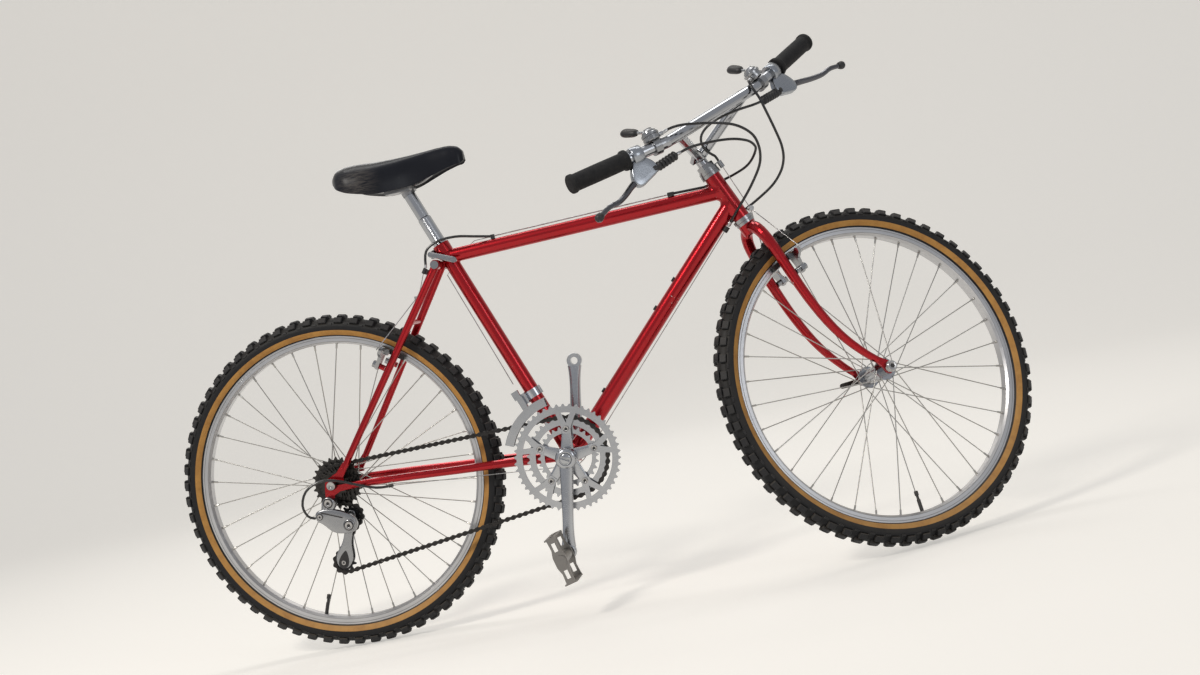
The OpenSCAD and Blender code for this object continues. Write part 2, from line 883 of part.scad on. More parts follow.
// Cables that stay on the frame
stop_y = 29.8;
stop_at = stay_top + [0, -stop_y, 0] - 20 * stay_dir + 15 * [-stay_dir[2], 0, stay_dir[0]];
yoke = stay_low + 356 * stay_dir + 13 * [-stay_dir[2], 0, stay_dir[0]];
module rear_brake_cable() {
    loop = [
        [-67, 0, 443], [-95, -8, 449], [-130, -20, 456], [-165, -27, 454],
        [-190, -29, 440], stop_at + 6.4 * stay_dir
    ];
    color("#222222")
        ride() {
            tube(smooth(loop, 4), 2.5, 2.5, 8);
            rod([-58.7, 0, 443], [284.7, 0, 447.5], 0.9);
            rod([297.4, 0, 447.5], [356, 12, 447], 2.5);
            rod(stop_at - 5.8 * stay_dir, yoke + [4, -1, 4], 0.9);
            translate(yoke - [5, 4, 5])
                cube([10, 8, 10]);
        }
    color("#999999")
        rear_brake_place()
            both()
                rod([15, 3, 143], [31, 74, 31], 0.9);
}

module gear_wires() {
    fd = fd_at * seat_dir;
    loop = [
        [-352.6, -61.5, 13.3], [-375, -68, 16], [-406, -79, 29], [-445, -86, 46], [-478, -91, 50],
        [-505, -95, 37], [-517, -96, 12], [-512, -93, -10], [-500.4, -86, -18]
    ];
    color("#222222")
        ride() {
            tube(smooth(loop, 3), 2.5, 2.5, 8);
            tube([
                shift_at(519.5), [24, -9, -13], [12, -9, -20.9],
                [-6, -9, -21.6], [-20, -12, -20], [-342.4, -60.3, 13.4]
            ], 0.9, 0.9, 6);
            tube([
                [284.7, 7, 447], [-100, 7, 441.8], [-126, 17, 430], [-158, 17, 398],
                [-168, 10, 388], fd + [-30, -26, 25]
            ], 0.9, 0.9, 6);
        }
}

function top_at(x) = top_rear[2] + (x - top_rear[0]) * top_dir[2] / top_dir[0] + top_r;
module cable_stops() {
    chain_stop = [-352, -61.3, 13.4];
    color("#222222")
        ride() {
            translate([285, -6, top_at(285) + 0.3])
                cube([12, 17, 7.5]);
            translate([-66, -5, top_at(-66) + 0.2])
                cube([7, 10, 8]);
            rod(stop_at + 5.5 * stay_dir, stop_at - 5.5 * stay_dir, 4);
            translate(stop_at)
                rotate([0, stay_lean, 0])
                    translate([3.6, -2, -5])
                        cube([3.1, 4, 10]);
            rod(chain_stop, chain_stop + [9, 1, 0.8], 3.4);
            both()
                rod(shift_at(520), shift_at(531), 4.6);
            rod(boss_at(141, 0.05), boss_at(141, 3), 5);
            for (d = boss_along)
                difference() {
                    rod(boss_at(d, -8), boss_at(d, 3), 5);
                    rod(boss_at(d, -9), boss_at(d, 4), boss_hole_r);
                }
        }
}

module rear_axle() {
    color("silver")
        ride() {
            across(hub_x, bb_drop, -rear_old / 2 - 15, rear_old / 2 + 15, 5);
            both()
                difference() {
                    across(hub_x, bb_drop, rear_old / 2 + 6.2, rear_old / 2 + 13, 9);
                    across(hub_x, bb_drop, rear_old / 2, rear_old / 2 + 20, 5 + fit);
                }
        }
}

// Fork, on the steering axis with its turn at rest
module fork_crown() {
    color("firebrick")
        steer(fork_turn) {
            difference() {
                union() {
                    translate([0, 0, -124])
                        cylinder(h = 124 + 26, r = steer_r);
                    translate([0, 0, -head_len - 33])
                        cylinder(h = 20, r = steer_r + 4.3);
                }
                translate([0, 0, -72])
                    cylinder(h = 120, r = bar_r + fit);
            }
        }
}

module fork_blades() {
    color("firebrick")
        steer(fork_turn)
            both()
                difference() {
                    tube(smooth(blade_pts, 3), blade_r, tip_r, 20);
                    translate([0, 0, -head_len - 33 - fit])
                        cylinder(h = 30, r = steer_r + 4.3 + fit);
                    translate([0, 0, -head_len - 13 - fit])
                        cylinder(h = 30, r = head_r + 2.6);
                    translate([-60, -61, -200])
                        cube([120, 60, 120]);
                    translate([rake - 30, front_old / 2 - fit, -axle_drop - 10])
                        cube([60, 5 + 2 * fit, 40]);
                }
}

module fork_dropouts() {
    color("firebrick")
        steer(fork_turn)
            both()
                slab(front_old / 2, front_old / 2 + 5)
                    translate([rake, -axle_drop])
                        difference() {
                            polygon([
                                [-17, 26], [-8, 29], [6, 10], [11, 2], [10, -9], [3, -12],
                                [-6, -11], [-11, -4], [-12, 6]
                            ]);
                            circle(r = 4.5 + fit);
                            translate([-4, -20])
                                square([8, 17]);
                        }
}

module headset_races() {
    color("silver")
        steer(fork_turn)
            difference() {
                union() {
                    translate([0, 0, 7.5])
                        cylinder(h = 6.5, r = head_r + 3.4);
                    translate([0, 0, 14])
                        cylinder(h = 2.5, r = head_r + 2);
                    rotate([0, 0, hanger_turn])
                        translate([14, -5, 14.3])
                            cube([14, 10, 1.9]);
                    translate(hanger(2))
                        cylinder(h = 13.8, r = 4.6);
                    translate([0, 0, 15])
                        cylinder(h = 10.5, r = head_r + 1.5, $fn = 8);
                    translate([0, 0, -head_len - 13])
                        cylinder(h = 5.5, r = head_r + 2.5);
                }
                translate([0, 0, -head_len - 20])
                    cylinder(h = head_len + 60, r = steer_r + fit);
                translate(hanger(0))
                    cylinder(h = 20, r = 1.6);
            }
}

module stem() {
    color("silver")
        steer(bar_turn)
            difference() {
                union() {
                    translate([0, 0, -65])
                        cylinder(h = 107, r = bar_r);
                    translate([3, 0, 44])
                        sphere(r = 13.5);
                    both()
                        rod([4, 2, 43], [bar_reach, 0.75 * bar_mid, bar_rise], 10);
                    translate([6, -26, 36])
                        rotate([0, -25, 0])
                            cube([26, 18, 8]);
                }
                across(bar_reach, bar_rise, -bar_mid, bar_mid, bar_r + fit);
                translate([28, 0, 20])
                    cylinder(h = 60, r = 4);
            }
}

module handlebar() {
    d = [-sin(bar_sweep) * cos(bar_up), cos(bar_sweep) * cos(bar_up), sin(bar_up)];
    a = [bar_reach, bar_mid, bar_rise];
    b = [bar_reach, -bar_mid, bar_rise];
    e = [d[0], -d[1], d[2]];
    pts = [
        b + bar_end * e, b + 15 * e, b + 7 * e, b + [0, 1, 0], b + [0, 8, 0], b + [0, 16, 0],
        a - [0, 16, 0], a - [0, 8, 0], a - [0, 1, 0], a + 7 * d, a + 15 * d, a + bar_end * d
    ];
    color("silver")
        steer(bar_turn)
            tube(pts, bar_r, bar_r, 24);
}

module grips() {
    start = bar_end - grip_len + 1.5;
    color("#222222")
        steer(bar_turn)
            both()
                grip_place()
                    translate([0, start, 0])
                        rotate([-90, 0, 0])
                            difference() {
                                union() {
                                    cylinder(h = grip_len, r = grip_r);
                                    cylinder(h = 9, r = grip_r + 3);
                                    translate([0, 0, grip_len - 10])
                                        cylinder(h = 10, r = grip_r + 1.8);
                                }
                                translate([0, 0, -1])
                                    cylinder(h = grip_len + 0.2, r = bar_r + 0.1);
                            }
}

module brake_perches() {
    color("silver")
        steer(bar_turn)
            both()
                grip_place() {
                    difference() {
                        union() {
                            translate([0, 58, 0])
                                rotate([-90, 0, 0])
                                    cylinder(h = 20, r = bar_r + 5.5);
                            translate([-7, 0, 0])
                                rotate([90, 0, 90])
                                    linear_extrude(height = 14)
                                        polygon([
                                            [58, -10], [80, -10], [93, -32], [96, -46],
                                            [84, -55], [66, -48], [46, -41], [43, -28]
                                        ]);
                        }
                        translate([0, 40, 0])
                            rotate([-90, 0, 0])
                                cylinder(h = 60, r = bar_r + 0.1);
                    }
                }
}

module brake_levers() {
    pts = [
        [1.5, 98.6, -46], [5, 108, -50], [14, 128, -60], [23, 150, -68], [29, 172, -70],
        [32.5, 195.5, -78.6]
    ];
    color("#555555")
        steer(bar_turn)
            both()
                grip_place() {
                    tube(smooth(pts, 3), 6.2, 4.4, 12);
                    translate([33, 200.6, -80.8])
                        sphere(r = 7.6);
                }
}

module shifter_bodies() {
    color("silver")
        steer(bar_turn)
            both()
                grip_place() {
                    difference() {
                        translate([0, 17, 0])
                            rotate([-90, 0, 0])
                                cylinder(h = 14, r = bar_r + 4.2);
                        translate([0, 10, 0])
                            rotate([-90, 0, 0])
                                cylinder(h = 30, r = bar_r + 0.1);
                    }
                    translate([0, 24, bar_r + 0.6])
                        cylinder(h = 12.4, r = 13.5);
                    translate([0, 24, bar_r + 13])
                        cylinder(h = 6, r1 = 13.5, r2 = 9);
                    translate([8, 4, bar_r + 6])
                        rotate([-90, 0, 0])
                            cylinder(h = 12, r = 4);
                }
}

module shifter_levers() {
    color("#222222")
        steer(bar_turn)
            both()
                grip_place() {
                    difference() {
                        translate([0, 24, 30.3])
                            cylinder(h = 4, r = 8.5);
                        translate([0, 24, 33])
                            cylinder(h = 4, r = 4);
                    }
                    rod([-5, 27, 32.4], [-26, 36, 43], 2.8);
                    rod([-24, 35, 42], [-44, 43, 54], 5.2, 6.4);
                }
}

module cable_bellows() {
    color("#222222")
        steer(bar_turn)
            both()
                grip_place()
                    rod([1, 41.2, -34.8], [-1, -3, -28], 6.6);
}

// Front brake cable from the left lever, through the hanger, to both arms
module front_brake_cable() {
    carrier = [27, 0, -91];
    color("#222222")
        steer(fork_turn) {
            rod(hanger(1.6), carrier + [0, 0, 4.8], 0.9);
            rod(carrier - [0, 5, 0], carrier + [0, 5, 0], 5);
            both()
                rod(carrier + [0, 3, -4.9], [22.5, 74, 33 - boss_drop], 0.9);
        }
    color("#222222")
        ride()
            tube(
                smooth([
                    [494.5, -9, 579], [478, -22, 575], [457, -34, 572], [434, -42, 568],
                    [409, -45, 562], [388, -42, 553], [374, -36, 541], [370, -31, 527],
                    [374, -25, 513], [382, -17, 504], [388, -8, 499], [390.5, -2.5, 494],
                    [392.6, -1.9, 488.7]
                ], 3), 2.5, 2.5, 8
            );
}

module front_axle() {
    color("silver")
        steer(fork_turn) {
            across(rake, -axle_drop, -front_old / 2 - 14, front_old / 2 + 16, 4.5);
            both()
                difference() {
                    across(rake, -axle_drop, front_old / 2 + 5.2, front_old / 2 + 13, 10);
                    across(rake, -axle_drop, front_old / 2, front_old / 2 + 20, 4.5 + fit);
                }
            difference() {
                hull() {
                    across(rake, -axle_drop, front_old / 2 + 13.3, front_old / 2 + 18, 6);
                    across(rake - 38, -axle_drop + 14, front_old / 2 + 17, front_old / 2 + 20, 5);
                }
                across(rake, -axle_drop, front_old / 2, front_old / 2 + 30, 4.5 + fit);
            }
        }
}

// Housings that cross from the bar to the frame
module rear_brake_housing() {
    color("#222222")
        ride()
            tube(
                smooth([
                    [330, -156, 506.5], [357, -141, 515], [394, -118, 518], [429, -88, 517],
                    [447, -72, 513], [460, -56, 507], [467, -40, 497], [464, -26, 489],
                    [453, -8, 476], [439, 8, 467], [419, 20, 460], [400, 26, 455], [384, 25, 452],
                    [370, 19, 449], [357.5, 12.3, 447.4]
                ], 3), 2.5, 2.5, 8
            );
}

module rear_shift_housing() {
    color("#222222")
        ride()
            tube(
                smooth([
                    [315.5, -164, 549.8], [327, -161, 554], [346, -160, 556], [389, -154, 551],
                    [429, -141, 542], [446, -132, 535], [461, -121, 524], [471, -109, 511],
                    [475, -96, 494], [474, -84, 477], [468, -72, 460], [445, -53, 428],
                    [413, -36, 393], [401, -23, 381], [391, -11, 371], [385.5, -9, 365.2]
                ], 3), 2.5, 2.5, 8
            );
}

module front_shift_housing() {
    color("#222222")
        ride()
            tube(
                smooth([
                    [483.5, -13.5, 623.8], [480, -20, 620], [481, -27, 611], [486, -31, 599],
                    [492, -32, 585], [498, -30, 563], [510, -16, 514], [514, -6, 491],
                    [513, 3, 470], [506, 11, 451], [493, 18, 434], [478, 23, 421],
                    [442, 27, 400], [424, 26, 391], [408, 21, 382], [398, 14, 375],
                    [390.5, 9.6, 370.3], [385.5, 9, 365.2]
                ], 3), 2.5, 2.5, 8
            );
}

// Wheels, each about its own axle along Y
module tyre_solid() {
    rotate([90, 0, 0])
        rotate_extrude($fn = 120)
            difference() {
                translate([tyre_r - tyre_sec, 0])
                    circle(r = tyre_sec);
                translate([rim_r - 60, -40])
                    square([60 + seat, 80]);
            }
}

module rim_solid() {
    rotate([90, 0, 0])
        rotate_extrude($fn = 120)
            polygon([
                [rim_r - rim_depth, -rim_half + 5], [rim_r - rim_depth + 4, -rim_half],
                [rim_r, -rim_half], [rim_r, rim_half], [rim_r - rim_depth + 4, rim_half],
                [rim_r - rim_depth, rim_half - 5]
            ]);
}

module spoke_set(flange_r, right_y, left_y) {
    per = spoke_n / 2;
    lean = 360 / per * 3;
    end_r = rim_r - rim_depth - 0.2;
    for (side = [0, 1], k = [0 : per - 1]) {
        out = k % 2 == 0 ? 1 : -1;
        turn = 360 / per * k + side * 180 / per;
        y = side == 0 ? right_y - 1.9 - 2.2 * out : left_y + 1.9 + 2.2 * out;
        a = turn + out * lean;
        hub_r = flange_r - 1.6;
        rod(
            [hub_r * cos(turn), side == 0 ? right_y + 0.1 - 2.9 * out : left_y - 0.1 + 2.9 * out,
                hub_r * sin(turn)],
            [end_r * cos(a), (side == 0 ? -1 : 1) * 2.5, end_r * sin(a)], spoke_r
        );
    }
}

module hub_solid(flange_r, right_y, left_y, end_right, end_left, bore, barrel) {
    difference() {
        union() {
            across(0, 0, right_y - 1.5, right_y + 1.5, flange_r);
            across(0, 0, left_y - 1.5, left_y + 1.5, flange_r);
            across(0, 0, right_y, left_y, barrel);
            across(0, 0, end_right, end_left, barrel - 3);
        }
        across(0, 0, end_right - 1, end_left + 1, bore);
    }
}

module front_tyre() {
    color("#222222")
        front_wheel_place()
            tyre_solid();
}

module front_rim() {
    color("silver")
        front_wheel_place()
            rim_solid();
}

module front_spokes() {
    color("silver")
        front_wheel_place()
            spoke_set(front_flange_r, -34, 34);
}

module front_hub() {
    color("silver")
        front_wheel_place()
            hub_solid(front_flange_r, -34, 34, -front_old / 2 + 0.4, front_old / 2 - 0.4,
                4.5 + fit, 15);
}

module rear_tyre() {
    color("#222222")
        rear_wheel_place()
            tyre_solid();
}

module rear_rim() {
    color("silver")
        rear_wheel_place()
            rim_solid();
}

module rear_spokes() {
    color("silver")
        rear_wheel_place()
            spoke_set(rear_flange_r, -21, 35);
}

module rear_hub() {
    color("silver")
        rear_wheel_place()
            hub_solid(rear_flange_r, -21, 35, -29.5, rear_old / 2 - 0.4, 5 + fit, 17);
}

// Chainset
module crank_arm(dir, s) {
    face = abs(hub_face);
    near = 22 * dir;
    far = (crank_len - 18) * dir;
    eye = crank_len * dir;
    difference() {
        union() {
            across(0, 0, s > 0 ? face - 20 : -face, s > 0 ? face : -face + 20, 20);
            hull() {
                across(near[0], near[2], s > 0 ? face - 15 : -face + 1, s > 0 ? face - 1 : -face + 15, 12);
                across(far[0], far[2], s > 0 ? eye_out - 12 : -eye_out + 1,
                    s > 0 ? eye_out - 1 : -eye_out + 12, 10);
            }
            across(eye[0], eye[2], s > 0 ? eye_out - eye_in : -eye_out, s > 0 ? eye_out : -eye_out + eye_in,
                14.5);
        }
        across(0, 0, -100, 100, 8.5 + fit);
        across(eye[0], eye[2], -120, 120, pedal_eye_r);
    }
}

module crank_right() {
    color("silver")
        ride() {
            crank_arm(right_dir, -1);
            difference() {
                slab(ring_y[0] + 1.4, ring_y[1] - 1.4)
                    union() {
                        circle(r = 22);
                        for (i = [0 : 4])
                            rotate(90 - crank_tilt + 72 * i)
                                polygon([
                                    [10, -13], [26, -10.5], [40, -8.5], [bcd / 2 + 7, -7.5],
                                    [bcd / 2 + 9, 0], [bcd / 2 + 7, 7.5], [40, 8.5], [26, 10.5], [10, 13]
                                ]);
                    }
                across(0, 0, -100, 100, 8.5 + fit);
            }
            for (i = [0 : 4]) {
                a = 90 - crank_tilt + 72 * i;
                across(bcd / 2 * cos(a), bcd / 2 * sin(a), ring_y[0] - 2, ring_y[1] + 2.6, 5);
                across(small_bolt_r * cos(a), small_bolt_r * sin(a), ring_y[1] - 2, ring_y[2] + 2, 3.5);
            }
            difference() {
                across(0, 0, hub_face + 3, ring_y[1] - 1.4, 19);
                across(0, 0, -100, 100, 8.5 + fit);
            }
        }
}

module ring_tabs(inner, band, reach_r) {
    for (i = [0 : 4])
        rotate(90 - crank_tilt + 72 * i)
            difference() {
                polygon([
                    [reach_r - 9, -7], [reach_r - 9, 7], [reach_r + 6, 10], [band + 2, 21],
                    [band + 2, 10], [reach_r + 12, 0], [band + 2, -10], [band + 2, -21],
                    [reach_r + 6, -10]
                ]);
                translate([reach_r, 0])
                    circle(r = inner);
            }
}

// Lugs inside a ring's band, one for each bolt
module ring_lugs(hole, bolt_r, band, wide) {
    for (i = [0 : 4])
        rotate(90 - crank_tilt + 72 * i)
            difference() {
                union() {
                    translate([bolt_r, 0])
                        circle(r = wide);
                    polygon([
                        [bolt_r, -wide], [band + 1.5, -1.6 * wide], [band + 1.5, 1.6 * wide],
                        [bolt_r, wide]
                    ]);
                }
                translate([bolt_r, 0])
                    circle(r = hole);
            }
}

module chainrings() {
    big = pitch_r(ring_big) - 15;
    mid = pitch_r(ring_mid) - 15;
    small = pitch_r(ring_small) - 11;
    color("silver")
        ride() {
            slab(ring_y[0] - 1.2, ring_y[0] + 1.2)
                union() {
                    sprocket_2d(ring_big, big);
                    ring_tabs(5 + fit, big, bcd / 2);
                }
            slab(ring_y[1] - 1.1, ring_y[1] + 1.1) {
                rotate(2.4)
                    sprocket_2d(ring_mid, mid);
                ring_lugs(5 + fit, bcd / 2, mid, 9);
            }
            slab(ring_y[2] - 1.1, ring_y[2] + 1.1) {
                sprocket_2d(ring_small, small);
                ring_lugs(3.5 + fit, small_bolt_r, small, 7);
            }
        }
}

module crank_left() {
    color("silver")
        ride()
            crank_arm(left_dir, 1);
}

module crank_spindle() {
    face = abs(hub_face);
    color("silver")
        ride() {
            across(0, 0, -face - 0.2, face + 0.2, 8.5);
            both()
                across(0, 0, face + 0.1, face + 1.8, 10.5);
        }
}

module pedal_axle() {
    color("silver")
        ride() {
            across(pedal_at[0], pedal_at[2], -eye_out - 86, -eye_out + eye_in, 5);
            across(pedal_at[0], pedal_at[2], -eye_out - 6, -eye_out - 0.2, 8.5);
            across(pedal_at[0], pedal_at[2], -eye_out - 6, -eye_out + eye_in, 7.04);
        }
}

module pedal_cage() {
    ya = -eye_out - 90;
    yb = -eye_out - 12;
    color("silver")
        ride()
            translate(pedal_at)
                rotate([0, pedal_turn, 0]) {
                    difference() {
                        union() {
                            across(0, 0, ya, yb, 11);
                            slab(ya + 2, ya + 6)
                                pedal_end();
                            slab(yb - 8, yb - 4)
                                pedal_end();
                        }
                        across(0, 0, ya + 2, yb + 5, 5 + fit);
                    }
                    for (s = [-1, 1])
                        translate([s > 0 ? 43 : -46, ya + 2, 0])
                            rotate([90, 0, 90])
                                linear_extrude(height = 3)
                                    difference() {
                                        polygon(concat(
                                            [for (i = [0 : 9]) [7.2 * i, -13 + (i % 2) * 3]],
                                            [[70, -10], [72, 0], [70, 10]],
                                            [for (i = [9 : -1 : 0]) [7.2 * i, 13 - (i % 2) * 3]]
                                        ));
                                        for (c = [14, 36, 57])
                                            translate([c - 6, -3.5])
                                                square([12, 7]);
                                    }
                }
}

module pedal_end() {
    difference() {
        polygon([
            [-43.3, -9], [-24, -8], [-10, -12], [10, -12], [24, -8], [43.3, -9],
            [43.3, 9], [24, 8], [10, 12], [-10, 12], [-24, 8], [-43.3, 9]
        ]);
        for (s = [-1, 1])
            translate([s * 27, 0])
                square([17, 8], center = true);
    }
}

head_tube();
top_tube();
down_tube();
seat_tube();
bottom_bracket_shell();
seat_stays();
chain_stays();
rear_dropouts();
stay_bridges();
headset_cups();
seat_post();
seat_binder();
saddle();
saddle_rails();
saddle_clamp();
front_derailleur();
rear_derailleur();
derailleur_cage();
jockey_wheels();
chain();
sprockets();
rear_brake_arms();
rear_brake_pads();
rear_brake_cable();
gear_wires();
cable_stops();
rear_axle();
fork_crown();
fork_blades();
fork_dropouts();
headset_races();
stem();
handlebar();
grips();
brake_perches();
brake_levers();
shifter_bodies();
shifter_levers();
cable_bellows();
front_brake_arms();
front_brake_pads();
front_brake_cable();
front_axle();
rear_brake_housing();
rear_shift_housing();
front_shift_housing();
front_tyre();
front_rim();
front_spokes();
front_hub();
rear_tyre();
rear_rim();
rear_spokes();
rear_hub();
crank_right();
chainrings();
crank_left();
crank_spindle();
pedal_axle();
pedal_cage();
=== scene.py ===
import json
import math

import bpy
import numpy as np
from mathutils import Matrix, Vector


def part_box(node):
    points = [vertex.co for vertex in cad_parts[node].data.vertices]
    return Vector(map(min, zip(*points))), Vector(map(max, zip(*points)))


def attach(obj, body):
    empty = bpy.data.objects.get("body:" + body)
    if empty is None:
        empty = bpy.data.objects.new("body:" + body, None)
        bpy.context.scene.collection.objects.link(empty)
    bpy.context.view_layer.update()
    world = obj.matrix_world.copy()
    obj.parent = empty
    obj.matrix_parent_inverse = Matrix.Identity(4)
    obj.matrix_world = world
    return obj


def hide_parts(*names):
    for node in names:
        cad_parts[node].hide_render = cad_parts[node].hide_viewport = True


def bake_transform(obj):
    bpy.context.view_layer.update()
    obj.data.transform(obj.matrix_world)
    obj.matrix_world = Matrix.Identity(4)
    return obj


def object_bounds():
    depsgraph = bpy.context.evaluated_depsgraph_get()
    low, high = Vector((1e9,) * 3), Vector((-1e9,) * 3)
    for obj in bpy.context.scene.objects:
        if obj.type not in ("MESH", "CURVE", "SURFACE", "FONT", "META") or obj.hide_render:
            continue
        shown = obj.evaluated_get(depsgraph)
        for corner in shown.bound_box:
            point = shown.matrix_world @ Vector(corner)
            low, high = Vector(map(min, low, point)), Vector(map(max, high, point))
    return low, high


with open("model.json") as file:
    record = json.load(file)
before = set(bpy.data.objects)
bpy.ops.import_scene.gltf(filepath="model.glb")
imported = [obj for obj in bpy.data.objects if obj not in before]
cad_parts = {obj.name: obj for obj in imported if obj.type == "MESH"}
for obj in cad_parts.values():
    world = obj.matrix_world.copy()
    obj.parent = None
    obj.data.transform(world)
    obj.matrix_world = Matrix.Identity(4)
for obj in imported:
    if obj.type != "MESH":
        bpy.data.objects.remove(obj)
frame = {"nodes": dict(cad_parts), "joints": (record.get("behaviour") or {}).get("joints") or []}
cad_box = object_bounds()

# ---------------------------------------------------------------------------------------------
# Camera, floor and lamps. The camera is rolled to one side. The floor passes just under the tyres,
# and floor and backdrop are one swept sheet with no corner.
view_at = (0.7893, -3.065, -0.3329)
view_turn = (88.347, 12.059, 8.337)
lens = 48.56

camera = bpy.data.objects.new("camera", bpy.data.cameras.new("camera"))
camera.location = view_at
camera.rotation_euler = [math.radians(a) for a in view_turn]
camera.data.lens = lens
camera.data.sensor_width = 36
bpy.context.scene.collection.objects.link(camera)
bpy.context.scene.camera = camera
bpy.context.scene.view_settings.view_transform = "Standard"


def add(tree, kind, values=None, **settings):
    """One shader node. values fills its inputs, by name or number, with a constant or a socket."""
    made = tree.nodes.new(kind)
    for key, value in settings.items():
        setattr(made, key, value)
    for key, value in (values or {}).items():
        if isinstance(value, bpy.types.NodeSocket):
            tree.links.new(value, made.inputs[key])
        else:
            made.inputs[key].default_value = value
    return made


def mix(tree, share, first, second):
    """Colour that goes from first to second as share goes from 0 to 1."""
    made = add(tree, "ShaderNodeMix", {0: share, 6: first, 7: second}, data_type="RGBA")
    return made.outputs[2]


def calc(tree, operation, *values, clamp=False):
    """One Math node's result."""
    made = add(tree, "ShaderNodeMath", dict(enumerate(values)), operation=operation)
    made.use_clamp = clamp
    return made.outputs[0]


def surface(name, **sockets):
    """A material with one Principled shader: the material, its tree and the shader."""
    material = bpy.data.materials.new(name)
    material.use_nodes = True
    tree = material.node_tree
    shader = tree.nodes["Principled BSDF"]
    for key, value in sockets.items():
        shader.inputs[key.replace("_", " ")].default_value = value
    return material, tree, shader


def feed(tree, shader, **sources):
    """Links each source to the shader's input of that name."""
    for key, source in sources.items():
        tree.links.new(source, shader.inputs[key.replace("_", " ")])


def mesh_of(name, points, faces, material):
    """A smooth mesh object at the origin from an array of points and a list of faces."""
    mesh = bpy.data.meshes.new(name)
    mesh.from_pydata(np.asarray(points, float).tolist(), [], faces)
    mesh.polygons.foreach_set("use_smooth", [True] * len(mesh.polygons))
    mesh.materials.append(material)
    made = bpy.data.objects.new(name, mesh)
    bpy.context.scene.collection.objects.link(made)
    return made


def sweep_points(floor_z, bend_y=3.2, bend_r=2.4):
    """Points of the backdrop [along x, along its section]: flat, a quarter circle, then upright."""
    across_x = np.linspace(-14, 16, 24)
    flat_y = np.linspace(-12, bend_y, 14)
    bend = np.radians(np.linspace(6, 90, 15))
    section_y = np.concatenate([flat_y, bend_y + bend_r * np.sin(bend),
                                np.full(6, bend_y + bend_r)])
    section_z = np.concatenate([np.zeros(14), bend_r * (1 - np.cos(bend)), np.linspace(3, 14, 6)])
    x, y = np.meshgrid(across_x, section_y, indexing="ij")
    return np.stack([x, y, np.broadcast_to(section_z + floor_z, x.shape)], -1)


backdrop_points = sweep_points(cad_box[0][2] - 0.003)
rows, columns = backdrop_points.shape[:2]
first = (np.arange(rows - 1)[:, None] * columns + np.arange(columns - 1)).reshape(-1)
backdrop_faces = np.stack([first, first + columns, first + columns + 1, first + 1], -1).tolist()
paper, tree, shader = surface("backdrop_paper", Roughness=0.9, Specular_IOR_Level=0.1)
shader.inputs["Base Color"].default_value = (0.72, 0.69, 0.64, 1)
ray = add(tree, "ShaderNodeLightPath")
seen = calc(tree, "MAXIMUM", ray.outputs["Is Camera Ray"], ray.outputs["Is Glossy Ray"])
seen = calc(tree, "MAXIMUM", seen, ray.outputs["Is Transmission Ray"])
shader.inputs["Emission Color"].default_value = (0.86, 0.84, 0.8, 1)
feed(tree, shader, Emission_Strength=calc(tree, "MULTIPLY", seen, 0.5))
backdrop = mesh_of("backdrop", backdrop_points.reshape(-1, 3), backdrop_faces, paper)

world = bpy.data.worlds.new("studio")
bpy.context.scene.world = world
world.use_nodes = True
sky = world.node_tree
sky.nodes["Background"].inputs["Color"].default_value = (0.93, 0.95, 1, 1)
ray = add(sky, "ShaderNodeLightPath")
seen = calc(sky, "MAXIMUM", ray.outputs["Is Glossy Ray"], ray.outputs["Is Transmission Ray"])
behind = calc(sky, "MULTIPLY", ray.outputs["Is Camera Ray"], 0.5)
seen = calc(sky, "MULTIPLY_ADD", seen, 0.25, behind)
feed(sky, sky.nodes["Background"], Strength=calc(sky, "ADD", seen, 0.25))

lamps = {
    "key": ((-1.9, -3.0, 2.6), (0.9, 0.9), 92, (1, 0.96, 0.9)),
    "fill": ((3.6, -3.4, 0.8), (1.6, 1.6), 20, (0.94, 0.97, 1)),
    "top": ((0.3, 0.9, 2.6), (3.0, 0.5), 24, (1, 0.99, 0.97)),
    "behind": ((-0.4, 3.0, 1.2), (2.4, 1.0), 12, (1, 1, 1)),
}
aim = np.array([0.25, 0, -0.42])
for name, (place, size, watts, colour) in lamps.items():
    lamp = bpy.data.lights.new(name, "AREA")
    lamp.shape = "RECTANGLE"
    lamp.size, lamp.size_y = size
    lamp.energy = watts
    lamp.color = colour
    lamp_object = bpy.data.objects.new(name, lamp)
    lamp_object.location = place
    away = np.array(place) - aim
    lamp_object.rotation_euler = (
        math.atan2(math.hypot(away[0], away[1]), away[2]), 0, math.atan2(away[0], -away[1])
    )
    bpy.context.scene.collection.objects.link(lamp_object)

# ---------------------------------------------------------------------------------------------
# Frame and fork: steel tubes, welded and sprayed in red metallic paint under clear lacquer. Years
# of use have left small pale chips. Other finishes here also take scratches and dust.


def group(name, inputs, outputs):
    """A shader node group with float (F), colour (C) or vector (V) sockets."""
    kinds = {"F": "NodeSocketFloat", "C": "NodeSocketColor", "V": "NodeSocketVector"}
    made = bpy.data.node_groups.new(name, "ShaderNodeTree")
    for key, kind in inputs.items():
        made.interface.new_socket(key, in_out="INPUT", socket_type=kinds[kind])
    for key, kind in outputs.items():
        made.interface.new_socket(key, in_out="OUTPUT", socket_type=kinds[kind])
    return made, made.nodes.new("NodeGroupInput").outputs, made.nodes.new("NodeGroupOutput")


def placed(tree, kind, **values):
    """A node group placed in a tree, with its inputs set by name."""
    made = tree.nodes.new("ShaderNodeGroup")
    made.node_tree = kind
    for key, value in values.items():
        if isinstance(value, bpy.types.NodeSocket):
            tree.links.new(value, made.inputs[key])
        else:
            made.inputs[key].default_value = value
    return made


def object_place(tree):
    """The point's place in the row frame, in metres."""
    return add(tree, "ShaderNodeTexCoord").outputs["Object"]


